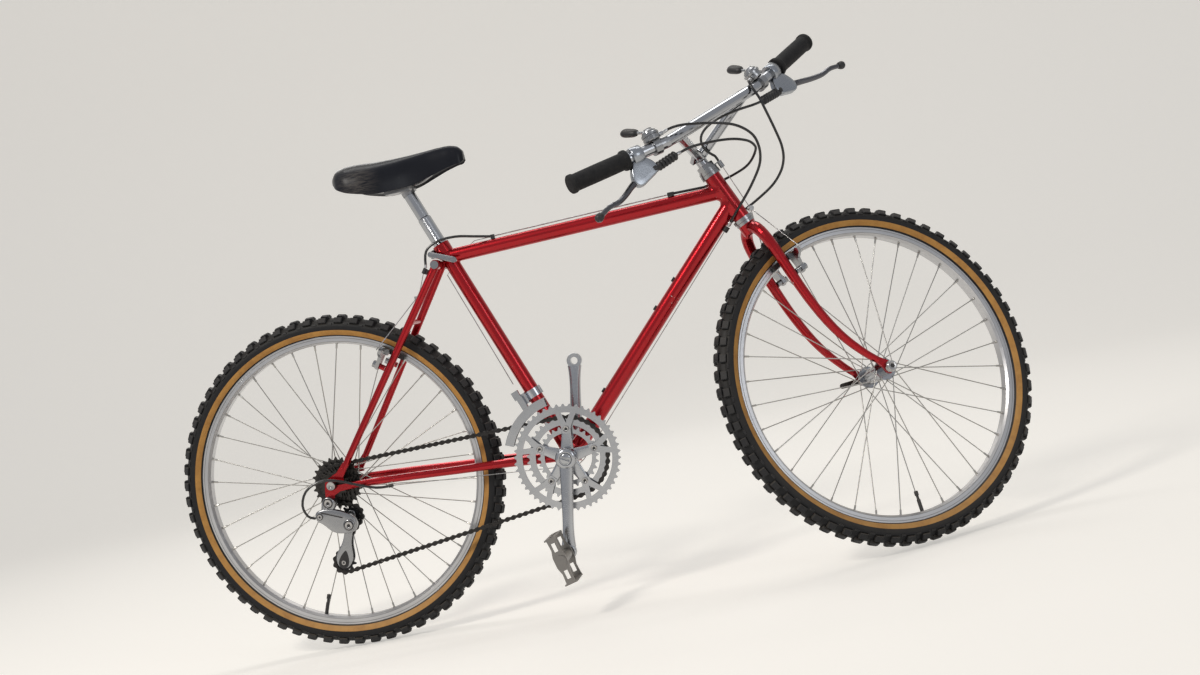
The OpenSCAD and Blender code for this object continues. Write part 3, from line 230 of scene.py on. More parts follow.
def noise(tree, place, scale, detail=3.0, rough=0.55):
    """Soft noise from 0 to 1, with scale repeats in a metre."""
    return add(
        tree, "ShaderNodeTexNoise",
        {"Vector": place, "Scale": scale, "Detail": detail, "Roughness": rough},
    ).outputs["Fac"]


def ramp(tree, value, low, high):
    """0 below low, 1 above high, smooth between."""
    made = add(
        tree, "ShaderNodeMapRange", {"Value": value, "From Min": low, "From Max": high},
        interpolation_type="SMOOTHSTEP",
    )
    return made.outputs["Result"]


# Wear: small chips where two noises peak together, long thin scratches, and a soft tone change.
wear, given, result = group(
    "wear", {"Colour": "C", "Bare": "C", "Chips": "F", "Grain": "F"},
    {"Colour": "C", "Chip": "F", "Rough": "F", "Height": "F"},
)
place = object_place(wear)
patch = noise(wear, place, 17.0, 2.0)
speck = noise(wear, place, 210.0, 2.0, 0.6)
chip = calc(wear, "ADD", calc(wear, "MULTIPLY", patch, 0.55), calc(wear, "MULTIPLY", speck, 0.75))
limit = calc(wear, "SUBTRACT", 0.93, calc(wear, "MULTIPLY", given["Chips"], 0.1))
chip = ramp(wear, chip, limit, calc(wear, "ADD", limit, 0.012))
streak_place = add(
    wear, "ShaderNodeMapping", {"Vector": place, "Rotation": (0.3, 0.9, 0.4), "Scale": (1, 1, 14)}
).outputs[0]
streak = noise(wear, streak_place, 34.0, 4.0, 0.7)
tone = noise(wear, place, 7.0, 3.0)
tinted = mix(wear, ramp(wear, tone, 0.25, 0.8), given["Colour"],
             add(wear, "ShaderNodeHueSaturation",
                 {"Color": given["Colour"], "Saturation": 1.03, "Value": 0.84}).outputs[0])
rub = calc(wear, "MULTIPLY", ramp(wear, streak, 0.5, 0.75), given["Grain"])
feed(wear, result, Colour=mix(wear, chip, tinted, given["Bare"]), Chip=chip,
     Rough=calc(wear, "ADD", rub, calc(wear, "MULTIPLY", chip, 0.35)),
     Height=calc(wear, "SUBTRACT", calc(wear, "MULTIPLY", streak, 0.1), chip))

# Dust: a thin dull film that lies on what faces up, thicker low down on the machine.
dust, given, result = group(
    "dust", {"Colour": "C", "Amount": "F"}, {"Colour": "C", "Film": "F"},
)
facing = add(dust, "ShaderNodeSeparateXYZ",
             {0: add(dust, "ShaderNodeNewGeometry").outputs["Normal"]}).outputs["Z"]
place = object_place(dust)
height = add(dust, "ShaderNodeSeparateXYZ", {0: place}).outputs["Z"]
film = calc(dust, "MULTIPLY", ramp(dust, facing, -0.2, 1.0), noise(dust, place, 42.0, 4.0, 0.65))
low = calc(dust, "ADD", 0.35, calc(dust, "MULTIPLY", ramp(dust, height, -0.2, -0.9), 0.9))
film = calc(dust, "MULTIPLY", calc(dust, "MULTIPLY", film, low), given["Amount"], clamp=True)
feed(dust, result, Colour=mix(dust, film, given["Colour"], (0.36, 0.3, 0.23, 1)), Film=film)


def raised(tree, height, strength, distance):
    """The normal of a surface that a height map lifts by up to distance."""
    return add(tree, "ShaderNodeBump",
               {"Height": height, "Strength": strength, "Distance": distance}).outputs[0]


def worn(name, colour, bare, rough, metal, chips=0.5, grain=0.1, dusty=0.3, bump=0.2,
         bare_metal=0.9, **sockets):
    """A solid finish that shows its coat, chips down to what is under it, and dust."""
    material, tree, shader = surface(name, **sockets)
    worn_at = placed(tree, wear, Colour=(*colour, 1), Bare=(*bare, 1), Chips=chips, Grain=grain)
    dusty_at = placed(tree, dust, Colour=worn_at.outputs["Colour"], Amount=dusty)
    roughness = calc(tree, "ADD", worn_at.outputs["Rough"],
                     calc(tree, "MULTIPLY", dusty_at.outputs["Film"], 0.5))
    feed(tree, shader, Base_Color=dusty_at.outputs["Colour"],
         Roughness=calc(tree, "ADD", roughness, rough, clamp=True),
         Metallic=calc(tree, "MULTIPLY_ADD", worn_at.outputs["Chip"], bare_metal - metal, metal),
         Normal=raised(tree, worn_at.outputs["Height"], bump, 0.0004))
    return material


red_paint = worn(
    "red_paint", (0.42, 0.0, 0.006), (0.6, 0.56, 0.52), 0.24, 0.75, chips=0.4, grain=0.0,
    dusty=0.0, bump=0.0, Coat_Weight=0.4, Coat_Roughness=0.04,
)


def dress(material, *names):
    """Gives a CAD node's slots one material."""
    for name in names:
        for held in frame["nodes"][name].material_slots:
            held.material = material


dress(red_paint, "head_tube", "top_tube", "down_tube", "seat_tube", "bottom_bracket_shell",
      "seat_stays", "chain_stays", "rear_dropouts", "stay_bridges", "fork_crown", "fork_blades",
      "fork_dropouts")

# ---------------------------------------------------------------------------------------------
# Places of the moving groups, worked out from the joints: each maps a piece's own millimetres to
# the row frame in metres. The bar stands turned against the fork, as it was left.


def rotation(axis, degrees):
    """Rodrigues: the matrix that turns by an angle about an axis."""
    x, y, z = np.array(axis, float) / np.linalg.norm(axis)
    cross = np.array([[0, -z, y], [z, 0, -x], [-y, x, 0]])
    angle = math.radians(degrees)
    return np.eye(3) + math.sin(angle) * cross + (1 - math.cos(angle)) * cross @ cross


def place_of(move=(0, 0, 0), turn=None):
    """A 3 by 4 matrix: turn first, then move."""
    return np.column_stack([np.eye(3) if turn is None else turn, np.array(move, float)])


def then(outer, inner):
    """The place that inner takes inside outer."""
    return np.column_stack([outer[:, :3] @ inner[:, :3], outer[:, :3] @ inner[:, 3] + outer[:, 3]])


def at(place, points):
    """Points carried by a place, for an array that ends in x, y, z."""
    return np.asarray(points, float) @ place[:, :3].T + place[:, 3]


def placed_part(place, part):
    """A skin carried by a place."""
    return at(place, part[0]), part[1], part[2]


joint = {j["name"]: j for j in frame["joints"]}
ride = np.column_stack([np.eye(3) * 0.001, [0.22, 0, -0.629]])
head_top, head_angle = np.array([374.6, 0, 462.8]), 66.2
fork_turn, bar_turn = 31, -50.7


def steering(turn):
    """The head tube's top end, leaning with it and turned about it."""
    lean = rotation((0, 1, 0), head_angle - 90)
    return then(ride, place_of(head_top, lean @ rotation((0, 0, 1), turn)))


fork = steering(fork_turn)
bar = steering(bar_turn)
mirror = place_of(turn=np.diag([1, -1, 1]))
bend = place_of((106.8, 117.3, 86.1), rotation((0, 0, 1), 9.3) @ rotation((1, 0, 0), 8.3))
left_grip, right_grip = then(bar, bend), then(then(bar, mirror), bend)
front_wheel = then(fork, place_of((38.9, 0, -482.2)))
hub = np.array([-458.5, 37.3])
rear_wheel = then(ride, place_of((hub[0], 0, hub[1])))


def skin(rings, loop=False):
    """A tube: point [i, j] joins [i+1, j] and [i, j+1], and each ring closes on itself. Both ends
    close with a fan to the ring's middle, or with loop the last ring joins the first."""
    rings = np.asarray(rings, float)
    n, m = rings.shape[:2]
    i, j = np.meshgrid(np.arange(n if loop else n - 1), np.arange(m), indexing="ij")
    quads = np.stack([i * m + j, i * m + (j + 1) % m, (i + 1) % n * m + (j + 1) % m,
                      (i + 1) % n * m + j], -1).reshape(-1, 4)
    points = rings.reshape(-1, 3)
    tris = np.zeros((0, 3), int)
    if not loop:
        k = np.arange(m)
        points = np.concatenate([points, rings[[0, -1]].mean(1)])
        first = np.stack([(k + 1) % m, k, np.full(m, n * m)], -1)
        last = np.stack([(n - 1) * m + k, (n - 1) * m + (k + 1) % m, np.full(m, n * m + 1)], -1)
        tris = np.concatenate([first, last])
    return points, quads, tris


def outward(part):
    """Turns a closed skin round where its signed volume, the sum of its faces' triple products, is
    negative."""
    points, quads, tris = part
    halves = np.concatenate([quads[:, [0, 1, 2]], quads[:, [0, 2, 3]], tris])
    a, b, c = points[halves[:, 0]], points[halves[:, 1]], points[halves[:, 2]]
    if np.einsum("ij,ij->i", a - points.mean(0), np.cross(b - a, c - a)).sum() < 0:
        return points, quads[:, ::-1], tris[:, ::-1]
    return part


def joined(parts):
    """Several skins as one array of points and one list of faces."""
    start = np.cumsum([0] + [len(p[0]) for p in parts])
    faces = []
    for shift, (points, quads, tris) in zip(start, parts):
        faces += (quads + shift).tolist() + (tris + shift).tolist()
    return np.concatenate([p[0] for p in parts]), faces


def copied(part, turns, moves):
    """One skin many times: copy k is turned by turns[k] and moved by moves[k]."""
    points, quads, tris = part
    n = len(points)
    spread = np.einsum("kab,pb->kpa", turns, points) + moves[:, None, :]
    shift = np.arange(len(moves))[:, None, None] * n
    return (spread.reshape(-1, 3), (quads[None] + shift).reshape(-1, 4),
            (tris[None] + shift).reshape(-1, 3))


def piece(name, parts, material, body=None, crease=35, stands_for=()):
    """A finished piece: skins turned outwards, creased by angle, riding on a body."""
    points, faces = joined([outward(p) for p in parts])
    made = mesh_of(name, points, faces, material)
    made.data.set_sharp_from_angle(angle=math.radians(crease))
    if body:
        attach(made, body)
    if stands_for:
        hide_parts(*stands_for)
    return made


def spun(profile, sides, place, axis="z", loop=False):
    """A profile of [radius, height] turned about z, or about y where axis says so. With loop its
    last point joins its first, so the ring has a hole."""
    profile = np.asarray(profile, float)
    around = np.linspace(0, 2 * np.pi, sides, endpoint=False)
    r, h = profile[:, :1], np.repeat(profile[:, 1:], sides, 1)
    x, y = r * np.cos(around), r * np.sin(around)
    rings = np.stack([x, y, h] if axis == "z" else [x, h, y], -1)
    return skin(at(place, rings), loop=loop)


# ---------------------------------------------------------------------------------------------
# Tyres: black tread rubber with rows of square blocks, a black shoulder and a bare tan sidewall
# down to a thin black line at the bead. The carcass is one turned skin and the blocks stand on it.
ring_r, section_r, rim_edge = 302.5, 22.4, 285.3
block_rows = 62
tan_from, tan_to = 103, 132


def tyre_place(around, across, out):
    """From angle round the wheel, angle round the section and distance from its middle."""
    around, across, out = np.broadcast_arrays(around, across, out)
    r = ring_r + out * np.cos(across)
    return np.stack([r * np.sin(around), out * np.sin(across), r * np.cos(around)], -1)


def carcass():
    """The section's radius drops under the tread, and a low rib runs where the tan starts."""
    end = math.acos((rim_edge - ring_r) / section_r)
    across = np.linspace(-end, end, 61)
    side = np.abs(np.degrees(across))
    under = 1 - 1 / (1 + np.exp(-(side - 66) / 3.5))
    rib = 0.5 * np.exp(-((side - tan_from - 0.5) / 1.6) ** 2)
    rib = rib + 0.35 * np.exp(-((side - tan_to + 1) / 2) ** 2)
    out = section_r - 4.6 * under + rib
    around = np.linspace(0, 2 * np.pi, 240, endpoint=False)
    rings = tyre_place(around[None, :], across[:, None], out[:, None])
    return skin(rings, loop=True), np.repeat(side, 240)


def about_axle(angles):
    """One matrix for each angle about y."""
    cos, sin = np.cos(angles), np.sin(angles)
    zero, one = np.zeros(len(angles)), np.ones(len(angles))
    return np.stack([cos, zero, sin, zero, one, zero, -sin, zero, cos], -1).reshape(-1, 3, 3)


def blocks(inner, outer, share, top, shift):
    """One row of blocks on each side: from angle inner to outer on the section, share of the pitch
    long, with chamfered tops, shifted along by part of a pitch."""
    pitch = 2 * math.pi / block_rows
    half = pitch * share / 2
    middle, spread = (inner + outer) / 2, (outer - inner) / 2
    corner = np.array([[-1, -1], [1, -1], [1, 1], [-1, 1]])
    parts = []
    for side in (-1, 1):
        level = np.array([17.0, top - 0.9, top])[:, None]
        shrink = np.array([1.06, 0.97, 0.8])[:, None]
        around = corner[:, 0] * half * shrink
        across = np.radians(side * (middle + corner[:, 1] * spread * shrink))
        block = skin(tyre_place(around, across, np.broadcast_to(level, around.shape)))
        turns = about_axle((np.arange(block_rows) + shift) * pitch)
        parts.append(copied(outward(block), turns, np.zeros((block_rows, 3))))
    return parts


tyre_rubber, tree, shader = surface("tyre_rubber", Specular_IOR_Level=0.3)
place = object_place(tree)
across = add(tree, "ShaderNodeAttribute", attribute_name="section_angle").outputs["Fac"]
tan_share = calc(tree, "MULTIPLY", ramp(tree, across, tan_from, tan_from + 1),
                 calc(tree, "SUBTRACT", 1.0, ramp(tree, across, tan_to, tan_to + 1)))
cloth = noise(tree, place, 900.0, 2.0)
mottled = noise(tree, place, 36.0, 4.0, 0.7)
tan = mix(tree, ramp(tree, mottled, 0.35, 0.75), (0.62, 0.31, 0.075, 1), (0.44, 0.2, 0.05, 1))
tan = mix(tree, calc(tree, "MULTIPLY", cloth, 0.25), tan, (0.6, 0.36, 0.14, 1))
black = mix(tree, ramp(tree, mottled, 0.4, 0.8), (0.006, 0.0065, 0.008, 1),
            (0.013, 0.013, 0.014, 1))
on_block = add(tree, "ShaderNodeAttribute", attribute_name="block").outputs["Fac"]
black = mix(tree, calc(tree, "MULTIPLY", on_block, 0.8), black, (0.026, 0.026, 0.028, 1))
dusty = placed(tree, dust, Colour=mix(tree, tan_share, black, tan), Amount=0.3)
rough = calc(tree, "MULTIPLY_ADD", mottled, 0.25, 0.42)
feed(tree, shader, Base_Color=dusty.outputs["Colour"], Normal=raised(tree, cloth, 0.35, 0.0003),
     Roughness=calc(tree, "ADD", rough, calc(tree, "MULTIPLY", dusty.outputs["Film"], 0.4)))

for name, place, body in (
    ("front_tyre", front_wheel, "front_wheel"), ("rear_tyre", rear_wheel, "rear_wheel"),
):
    shell, side = carcass()
    treads = [shell] + blocks(34, 66, 0.5, 24.4, 0.0) + blocks(3, 27, 0.5, 24.7, 0.12)
    treads += blocks(68, 77, 0.3, 23.4, 0.5)
    tyre = piece(name + "_tread", [placed_part(place, part) for part in treads], tyre_rubber, body,
                 40, [name])
    angle = np.zeros(len(tyre.data.vertices), np.float32)
    angle[:len(side)] = side
    for mark, values in (("section_angle", angle), ("block", (angle == 0).astype(np.float32))):
        held = tyre.data.attributes.new(mark, "FLOAT", "POINT")
        held.data.foreach_set("value", values)

# ---------------------------------------------------------------------------------------------
# Rims, spokes and hubs: drawn aluminium rims with two turned lines on each side, thirty-six steel
# spokes screwed into plated brass nipples, one rubber-covered valve a wheel, and alloy hubs.

# Ring: how far a point lies from a wheel's axle line and along it, in metres.
ring, given, result = group("ring", {"Centre": "V", "Axis": "V"}, {"Radius": "F", "Along": "F"})
place = object_place(ring)
offset = add(ring, "ShaderNodeVectorMath", {0: place, 1: given["Centre"]}, operation="SUBTRACT")
along = add(ring, "ShaderNodeVectorMath", {0: offset.outputs[0], 1: given["Axis"]},
            operation="DOT_PRODUCT").outputs["Value"]
cross = add(ring, "ShaderNodeVectorMath", {0: offset.outputs[0], 1: given["Axis"]},
            operation="CROSS_PRODUCT")
radius = add(ring, "ShaderNodeVectorMath", {0: cross.outputs[0]}, operation="LENGTH")
feed(ring, result, Radius=radius.outputs["Value"], Along=along)


def ring_at(tree, name):
    """The ring group set on the joint's own axis."""
    made = placed(tree, ring, Centre=joint[name]["pos_m"], Axis=joint[name]["axis"])
    return made.outputs["Radius"], made.outputs["Along"]


def line(tree, value, middle, half):
    """1 within half of middle, falling to 0 at twice that."""
    gap = calc(tree, "ABSOLUTE", calc(tree, "SUBTRACT", value, middle))
    return calc(tree, "SUBTRACT", 1.0, ramp(tree, gap, half, half * 2))


def alloy(name, colour=(0.56, 0.56, 0.57), rough=0.24, chips=0.3, grain=0.16, dusty=0.3):
    """Bare aluminium, which chips to a duller one."""
    return worn(name, colour, (0.42, 0.41, 0.4), rough, 1.0, chips=chips, grain=grain, dusty=dusty,
                bump=0.18, bare_metal=1.0)


turned_lines = (0.2742, 0.2812)
for name, axle in (("front_rim", "front_wheel_spin"), ("rear_rim", "rear_wheel_spin")):
    rim = alloy(name + "_alloy", rough=0.3, chips=0.15)
    tree = rim.node_tree
    shader = tree.nodes["Principled BSDF"]
    radius, along = ring_at(tree, axle)
    cut = calc(tree, "MAXIMUM", *[line(tree, radius, r, 0.0003) for r in turned_lines])
    old = shader.inputs["Base Color"].links[0].from_socket
    lines = calc(tree, "MULTIPLY", cut, 0.75)
    feed(tree, shader, Base_Color=mix(tree, lines, old, (0.16, 0.155, 0.15, 1)))
    groove = raised(tree, calc(tree, "SUBTRACT", 1.0, cut), 0.6, 0.0006)
    feed(tree, groove.node, Normal=shader.inputs["Normal"].links[0].from_socket)
    feed(tree, shader, Normal=groove)
    dress(rim, name)

spoke_steel = worn("spoke_steel", (0.42, 0.41, 0.39), (0.3, 0.25, 0.2), 0.3, 1.0, chips=0.6,
                   grain=0.1, dusty=0.3, bump=0.1)
dress(spoke_steel, "front_spokes", "rear_spokes")
plated_brass = worn("nipple_plate", (0.45, 0.44, 0.42), (0.3, 0.26, 0.2), 0.3, 1.0, chips=0.3)
bright = alloy("bright_alloy", (0.44, 0.45, 0.47), 0.16, 0.15, 0.08, 0.08)
dull = alloy("dull_alloy", (0.36, 0.36, 0.37), 0.32, 0.4, 0.14, 0.15)
# Black moulded rubber; the same dark finish also serves as painted shade in sockets, gaps and
# openings.
rubber_and_shade = worn("moulded_black_and_shade", (0.018, 0.018, 0.02), (0.09, 0.088, 0.085), 0.42, 0.0, chips=0.4,
              grain=0.15, dusty=0.35, bump=0.25, bare_metal=0.0)


def facing(direction):
    """A turn that carries z onto a direction."""
    z = np.array(direction, float) / np.linalg.norm(direction)
    side = np.cross((0, 0, 1) if abs(z[2]) < 0.9 else (1, 0, 0), z)
    x = side / np.linalg.norm(side)
    return np.stack([x, np.cross(z, x), z], -1)


rim_inner_r, valve_r, side_spokes = 269.8, 270.5, 18


def on_circle(radius, angle, y):
    """Points on a circle about y."""
    return np.stack([radius * np.cos(angle), np.full(len(angle), float(y)),
                     radius * np.sin(angle)], -1)


def spoke_turns(flange_r, right_y, left_y):
    """Place and direction of each nipple: where its spoke enters the rim, and to its hub end."""
    k = np.arange(side_spokes)
    places, ways = [], []
    for side, y, rim_y in ((0, right_y, -2.5), (1, left_y, 2.5)):
        hub_angle = np.radians(20 * k + side * 10)
        rim_angle = hub_angle + np.radians(np.where(k % 2 == 0, 60, -60))
        hub = on_circle(flange_r - 1.6, hub_angle, y)
        rim = on_circle(rim_inner_r, rim_angle, rim_y)
        places.append(rim)
        ways.append((hub - rim) / np.linalg.norm(hub - rim, axis=1)[:, None])
    return np.concatenate(places), np.concatenate(ways)


nipple_profile = [[2.9, -0.6], [3.1, 0.2], [2.5, 0.9], [2.0, 1.4], [1.9, 9.5], [1.5, 10.2],
                  [1.0, 10.6]]
valve = [[3.6, -2], [3.6, 22], [3.3, 23], [2.6, 24], [2.6, 30], [3.9, 30.6], [3.9, 38], [3.2, 39.5]]
valve_way = np.array([math.sin(0.35), 0, math.cos(0.35)])
for name, place, body, sizes in (
    ("front_nipples", front_wheel, "front_wheel", (21, -34, 34)),
    ("rear_nipples", rear_wheel, "rear_wheel", (23, -21, 35)),
):
    middles, ways = spoke_turns(*sizes)
    turns = np.stack([facing(way) for way in ways])
    nipples = copied(outward(spun(nipple_profile, 8, place_of())), turns, middles)
    piece(name, [placed_part(place, nipples)], plated_brass, body)
    stem_place = then(place, place_of(-valve_r * valve_way, facing(valve_way)))
    piece(name.replace("nipples", "valve"), [spun(valve, 16, stem_place)], rubber_and_shade, body)

dress(bright, "front_hub", "rear_hub", "stem", "handlebar", "seat_post", "front_derailleur")
dress(dull, "saddle_rails", "saddle_clamp")
dress(rubber_and_shade, "rear_brake_pads", "front_brake_pads", "cable_stops")

# ---------------------------------------------------------------------------------------------
# Saddle: black vinyl over firm foam on a moulded shell, scuffed grey on one flank. One crowned
# form, whose section is a rounded arch that pulls in to a narrow nose.
saddle_rear, saddle_len, saddle_half = -341, 256, 74
saddle_rows = np.array([
    [0, 0.50, 619, 602], [0.03, 0.72, 627, 593], [0.09, 0.92, 632, 583], [0.20, 1.00, 633, 573],
    [0.34, 0.93, 630, 566], [0.47, 0.74, 629, 566], [0.60, 0.52, 629, 569], [0.72, 0.37, 630, 577],
    [0.84, 0.30, 631, 586], [0.93, 0.26, 629, 591], [0.98, 0.21, 623, 593], [1.00, 0.14, 616, 597],
])


def eased(knots, values, wanted):
    """Piecewise cubic through the values, with slopes from their neighbours (Catmull-Rom)."""
    slope = np.gradient(values, knots)
    i = np.clip(np.searchsorted(knots, wanted, side="right") - 1, 0, len(knots) - 2)
    span = knots[i + 1] - knots[i]
    t = (wanted - knots[i]) / span
    return ((1 + 2 * t) * (1 - t) ** 2 * values[i] + t * (1 - t) ** 2 * span * slope[i]
            + t * t * (3 - 2 * t) * values[i + 1] - t * t * (1 - t) * span * slope[i + 1])


def saddle_rings(along_n, around_n):
    """Section: y = w sign(cos) |cos|^0.7, z from the bottom by sin^0.75, closed below by a shallow
    hollow; w, top and bottom ease along the length."""
    share = 0.5 - 0.5 * np.cos(np.linspace(0, np.pi, along_n))
    w, top, bottom = (eased(saddle_rows[:, 0], saddle_rows[:, k], share) for k in (1, 2, 3))
    over = np.linspace(0, np.pi, around_n)
    under = np.linspace(-1, 1, around_n // 2)[1:-1]
    arch_y = np.sign(np.cos(over)) * np.abs(np.cos(over)) ** 0.7
    arch_z = np.sin(over) ** 0.75
    y = np.concatenate([arch_y, under * 0.985])
    z = np.concatenate([arch_z, 0.14 * (1 - under ** 2) ** 0.5 + 0.02])
    x = saddle_rear + saddle_len * share
    height = (top - bottom)[:, None] * z
    return np.stack([np.broadcast_to(x[:, None], height.shape),
                     saddle_half * w[:, None] * y, bottom[:, None] + height], -1)


vinyl, tree, shader = surface("saddle_vinyl", Specular_IOR_Level=0.22)
place = object_place(tree)
leather = add(tree, "ShaderNodeTexVoronoi", {"Vector": place, "Scale": 750.0}).outputs["Distance"]
patch = noise(tree, place, 26.0, 4.0, 0.6)
scratch_place = add(tree, "ShaderNodeMapping",
                    {"Vector": place, "Rotation": (0.1, 0.7, 0.2), "Scale": (1, 1, 9)}).outputs[0]
scratch = noise(tree, scratch_place, 60.0, 5.0, 0.75)
spot = add(tree, "ShaderNodeVectorMath", {0: place, 1: (-0.066, -0.07, -0.035)},
           operation="DISTANCE")
rubbed = calc(tree, "SUBTRACT", 1.0, ramp(tree, spot.outputs["Value"], 0.01, 0.055))
rubbed = calc(tree, "MULTIPLY", rubbed, ramp(tree, scratch, 0.38, 0.62))
scuffs = calc(tree, "MULTIPLY", ramp(tree, scratch, 0.64, 0.72), ramp(tree, patch, 0.45, 0.6))
scuffs = calc(tree, "MAXIMUM", calc(tree, "MULTIPLY", scuffs, 0.5),
              calc(tree, "MULTIPLY", rubbed, 0.42))
base = mix(tree, patch, (0.006, 0.007, 0.011, 1), (0.014, 0.015, 0.021, 1))
feed(tree, shader, Base_Color=mix(tree, scuffs, base, (0.17, 0.15, 0.135, 1)),
     Roughness=calc(tree, "MULTIPLY_ADD", scuffs, 0.4, 0.3),
     Normal=raised(tree, leather, 0.12, 0.0003))
seat = skin(at(ride, saddle_rings(72, 64)))
saddle = piece("saddle_cover", [seat], vinyl, "frame", 60, ["saddle"])

# ---------------------------------------------------------------------------------------------
# Grips and lever boots: black foam grips with a rolled collar at each end, pushed over the bar,
# and ribbed rubber boots over the cable adjusters of both brake levers.


def grip_profile():
    """Radius and place along the bar: a collar, a barrel with a faint swell, and a domed end."""
    y = np.concatenate([
        [86.6, 86.9, 88, 91, 94, 95.4, 96.2], np.linspace(97.5, 195.5, 15),
        [197, 197.6, 199, 203, 205.6, 207, 207.4],
    ])
    r = np.concatenate([
        [16.6, 18, 18.8, 19, 18.8, 18.2, 16.4],
        16 + 0.25 * np.sin(np.linspace(0, math.pi, 15)) - 0.15,
        [16.2, 17.2, 17.7, 17.8, 17.2, 15.4, 12.5],
    ])
    return np.stack([r, y], -1)


def boot_profile(length, ribs=6):
    """A ribbed sleeve: the radius rises and falls once a rib, and steps down at both ends."""
    t = np.linspace(0, 1, 8 * ribs + 1)
    r = 6.0 + 3.0 * np.abs(np.sin(math.pi * ribs * t)) ** 0.7
    body = np.stack([r, t * length], -1)
    return np.concatenate([[[3.0, -1.5], [5.6, -1.2]], body,
                           [[4.2, length + 1.0], [3.0, length + 4]]])


foam, tree, shader = surface("grip_foam", Specular_IOR_Level=0.3)
place = object_place(tree)
pores = add(tree, "ShaderNodeTexVoronoi", {"Vector": place, "Scale": 1500.0}).outputs["Distance"]
patch = noise(tree, place, 60.0, 4.0, 0.65)
base = mix(tree, ramp(tree, patch, 0.3, 0.8), (0.009, 0.009, 0.01, 1), (0.028, 0.027, 0.027, 1))
feed(tree, shader, Base_Color=base, Roughness=calc(tree, "MULTIPLY_ADD", patch, 0.2, 0.62),
     Normal=raised(tree, pores, 0.5, 0.0004))
collars = [spun(grip_profile(), 48, side, "y") for side in (left_grip, right_grip)]
piece("foam_grips", collars, foam, "steering", 50, ["grips"])
boot_from, boot_to = np.array([1, 41.2, -34.8]), np.array([-1, -3, -28])
boot_len = np.linalg.norm(boot_to - boot_from)
boot_in = place_of(boot_from, facing(boot_to - boot_from))
boots = [spun(boot_profile(boot_len), 24, then(side, boot_in)) for side in (left_grip, right_grip)]
piece("lever_boots", boots, rubber_and_shade, "steering", 50, ["cable_bellows"])

# ---------------------------------------------------------------------------------------------
# Cable housings that cross from bar to frame: black plastic over coiled steel, five millimetres
# thick, with a bright ferrule at each end.
housings = {
    "rear_brake_housing": [
        [330, -156, 506.5], [357, -141, 515], [394, -118, 518], [429, -88, 517], [447, -72, 513],
        [460, -56, 507], [467, -40, 497], [464, -26, 489], [453, -8, 476], [439, 8, 467],
        [419, 20, 460], [400, 26, 455], [384, 25, 452], [370, 19, 449], [357.5, 12.3, 447.4],
    ],
    "rear_shift_housing": [
        [315.5, -164, 549.8], [327, -161, 554], [346, -160, 556], [389, -154, 551],
        [429, -141, 542], [446, -132, 535], [461, -121, 524], [471, -109, 511], [475, -96, 494],
        [474, -84, 477], [468, -72, 460], [445, -53, 428], [413, -36, 393], [401, -23, 381],
        [391, -11, 371], [385.5, -9, 365.2],
    ],
    "front_shift_housing": [
        [483.5, -13.5, 623.8], [480, -20, 620], [481, -27, 611], [486, -31, 599], [492, -32, 585],
        [498, -30, 563], [510, -16, 514], [514, -6, 491], [513, 3, 470], [506, 11, 451],
        [493, 18, 434], [478, 23, 421], [442, 27, 400], [424, 26, 391], [408, 21, 382],
        [398, 14, 375], [390.5, 9.6, 370.3], [385.5, 9, 365.2],
    ],
}


def smooth_path(points, steps=8):
    """Centripetal curve through the points: a cubic on each stretch, sloped by its neighbours."""
    points = np.asarray(points, float)
    reach = np.concatenate([[0], np.cumsum(np.linalg.norm(np.diff(points, axis=0), axis=1) ** 0.5)])
    wanted = np.interp(np.linspace(0, len(points) - 1, (len(points) - 1) * steps + 1),
                       np.arange(len(points)), reach)
    return np.stack([eased(reach, points[:, k], wanted) for k in range(3)], -1)


def along_path(path, radius, sides):
    """Rings square to a path. Each ring's own axes are the last ring's, turned with the tangent."""
    path = np.asarray(path, float)
    tangent = np.gradient(path, axis=0)
    tangent /= np.linalg.norm(tangent, axis=1)[:, None]
    normal = np.cross(tangent[0], (0.3, 0.5, 0.81))
    normals = []
    for way in tangent:
        normal = normal - way * (normal @ way)
        normal = normal / np.linalg.norm(normal)
        normals.append(normal)
    normals = np.array(normals)
    across = np.cross(tangent, normals)
    angle = np.linspace(0, 2 * np.pi, sides, endpoint=False)
    radius = np.broadcast_to(radius, len(path))[:, None, None]
    return path[:, None] + radius * (normals[:, None] * np.cos(angle)[:, None]
                                     + across[:, None] * np.sin(angle)[:, None])


ferrule = [[3.0, -0.4], [3.3, 0.2], [3.3, 9.0], [2.9, 9.6], [2.6, 9.8]]
ferrule_alloy = alloy("ferrule_alloy", (0.5, 0.5, 0.5), 0.25)
cable_black = worn("housing_plastic", (0.012, 0.012, 0.014), (0.07, 0.068, 0.065), 0.26, 0.0,
                   chips=0.2, grain=0.12, dusty=0.2, bump=0.1, bare_metal=0.0)
for name, route in housings.items():
    path = at(ride, smooth_path(route))
    tube = piece(name + "_tube", [skin(along_path(path, 0.0025, 14))], cable_black,
                 stands_for=[name])
    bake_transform(tube)
    for end, inward, body in ((path[-1], path[-4], "frame"), (path[0], path[3], "steering")):
        seat = np.column_stack([facing(inward - end) * 0.001, end])
        piece(f"{name}_ferrule_{body}", [spun(ferrule, 16, seat)], ferrule_alloy, body)

# ---------------------------------------------------------------------------------------------
# Fixed cables: bright inner wire along the tubes, and black housing where it has to bend. Each
# CAD node holds both, so the finish changes where the housing starts.


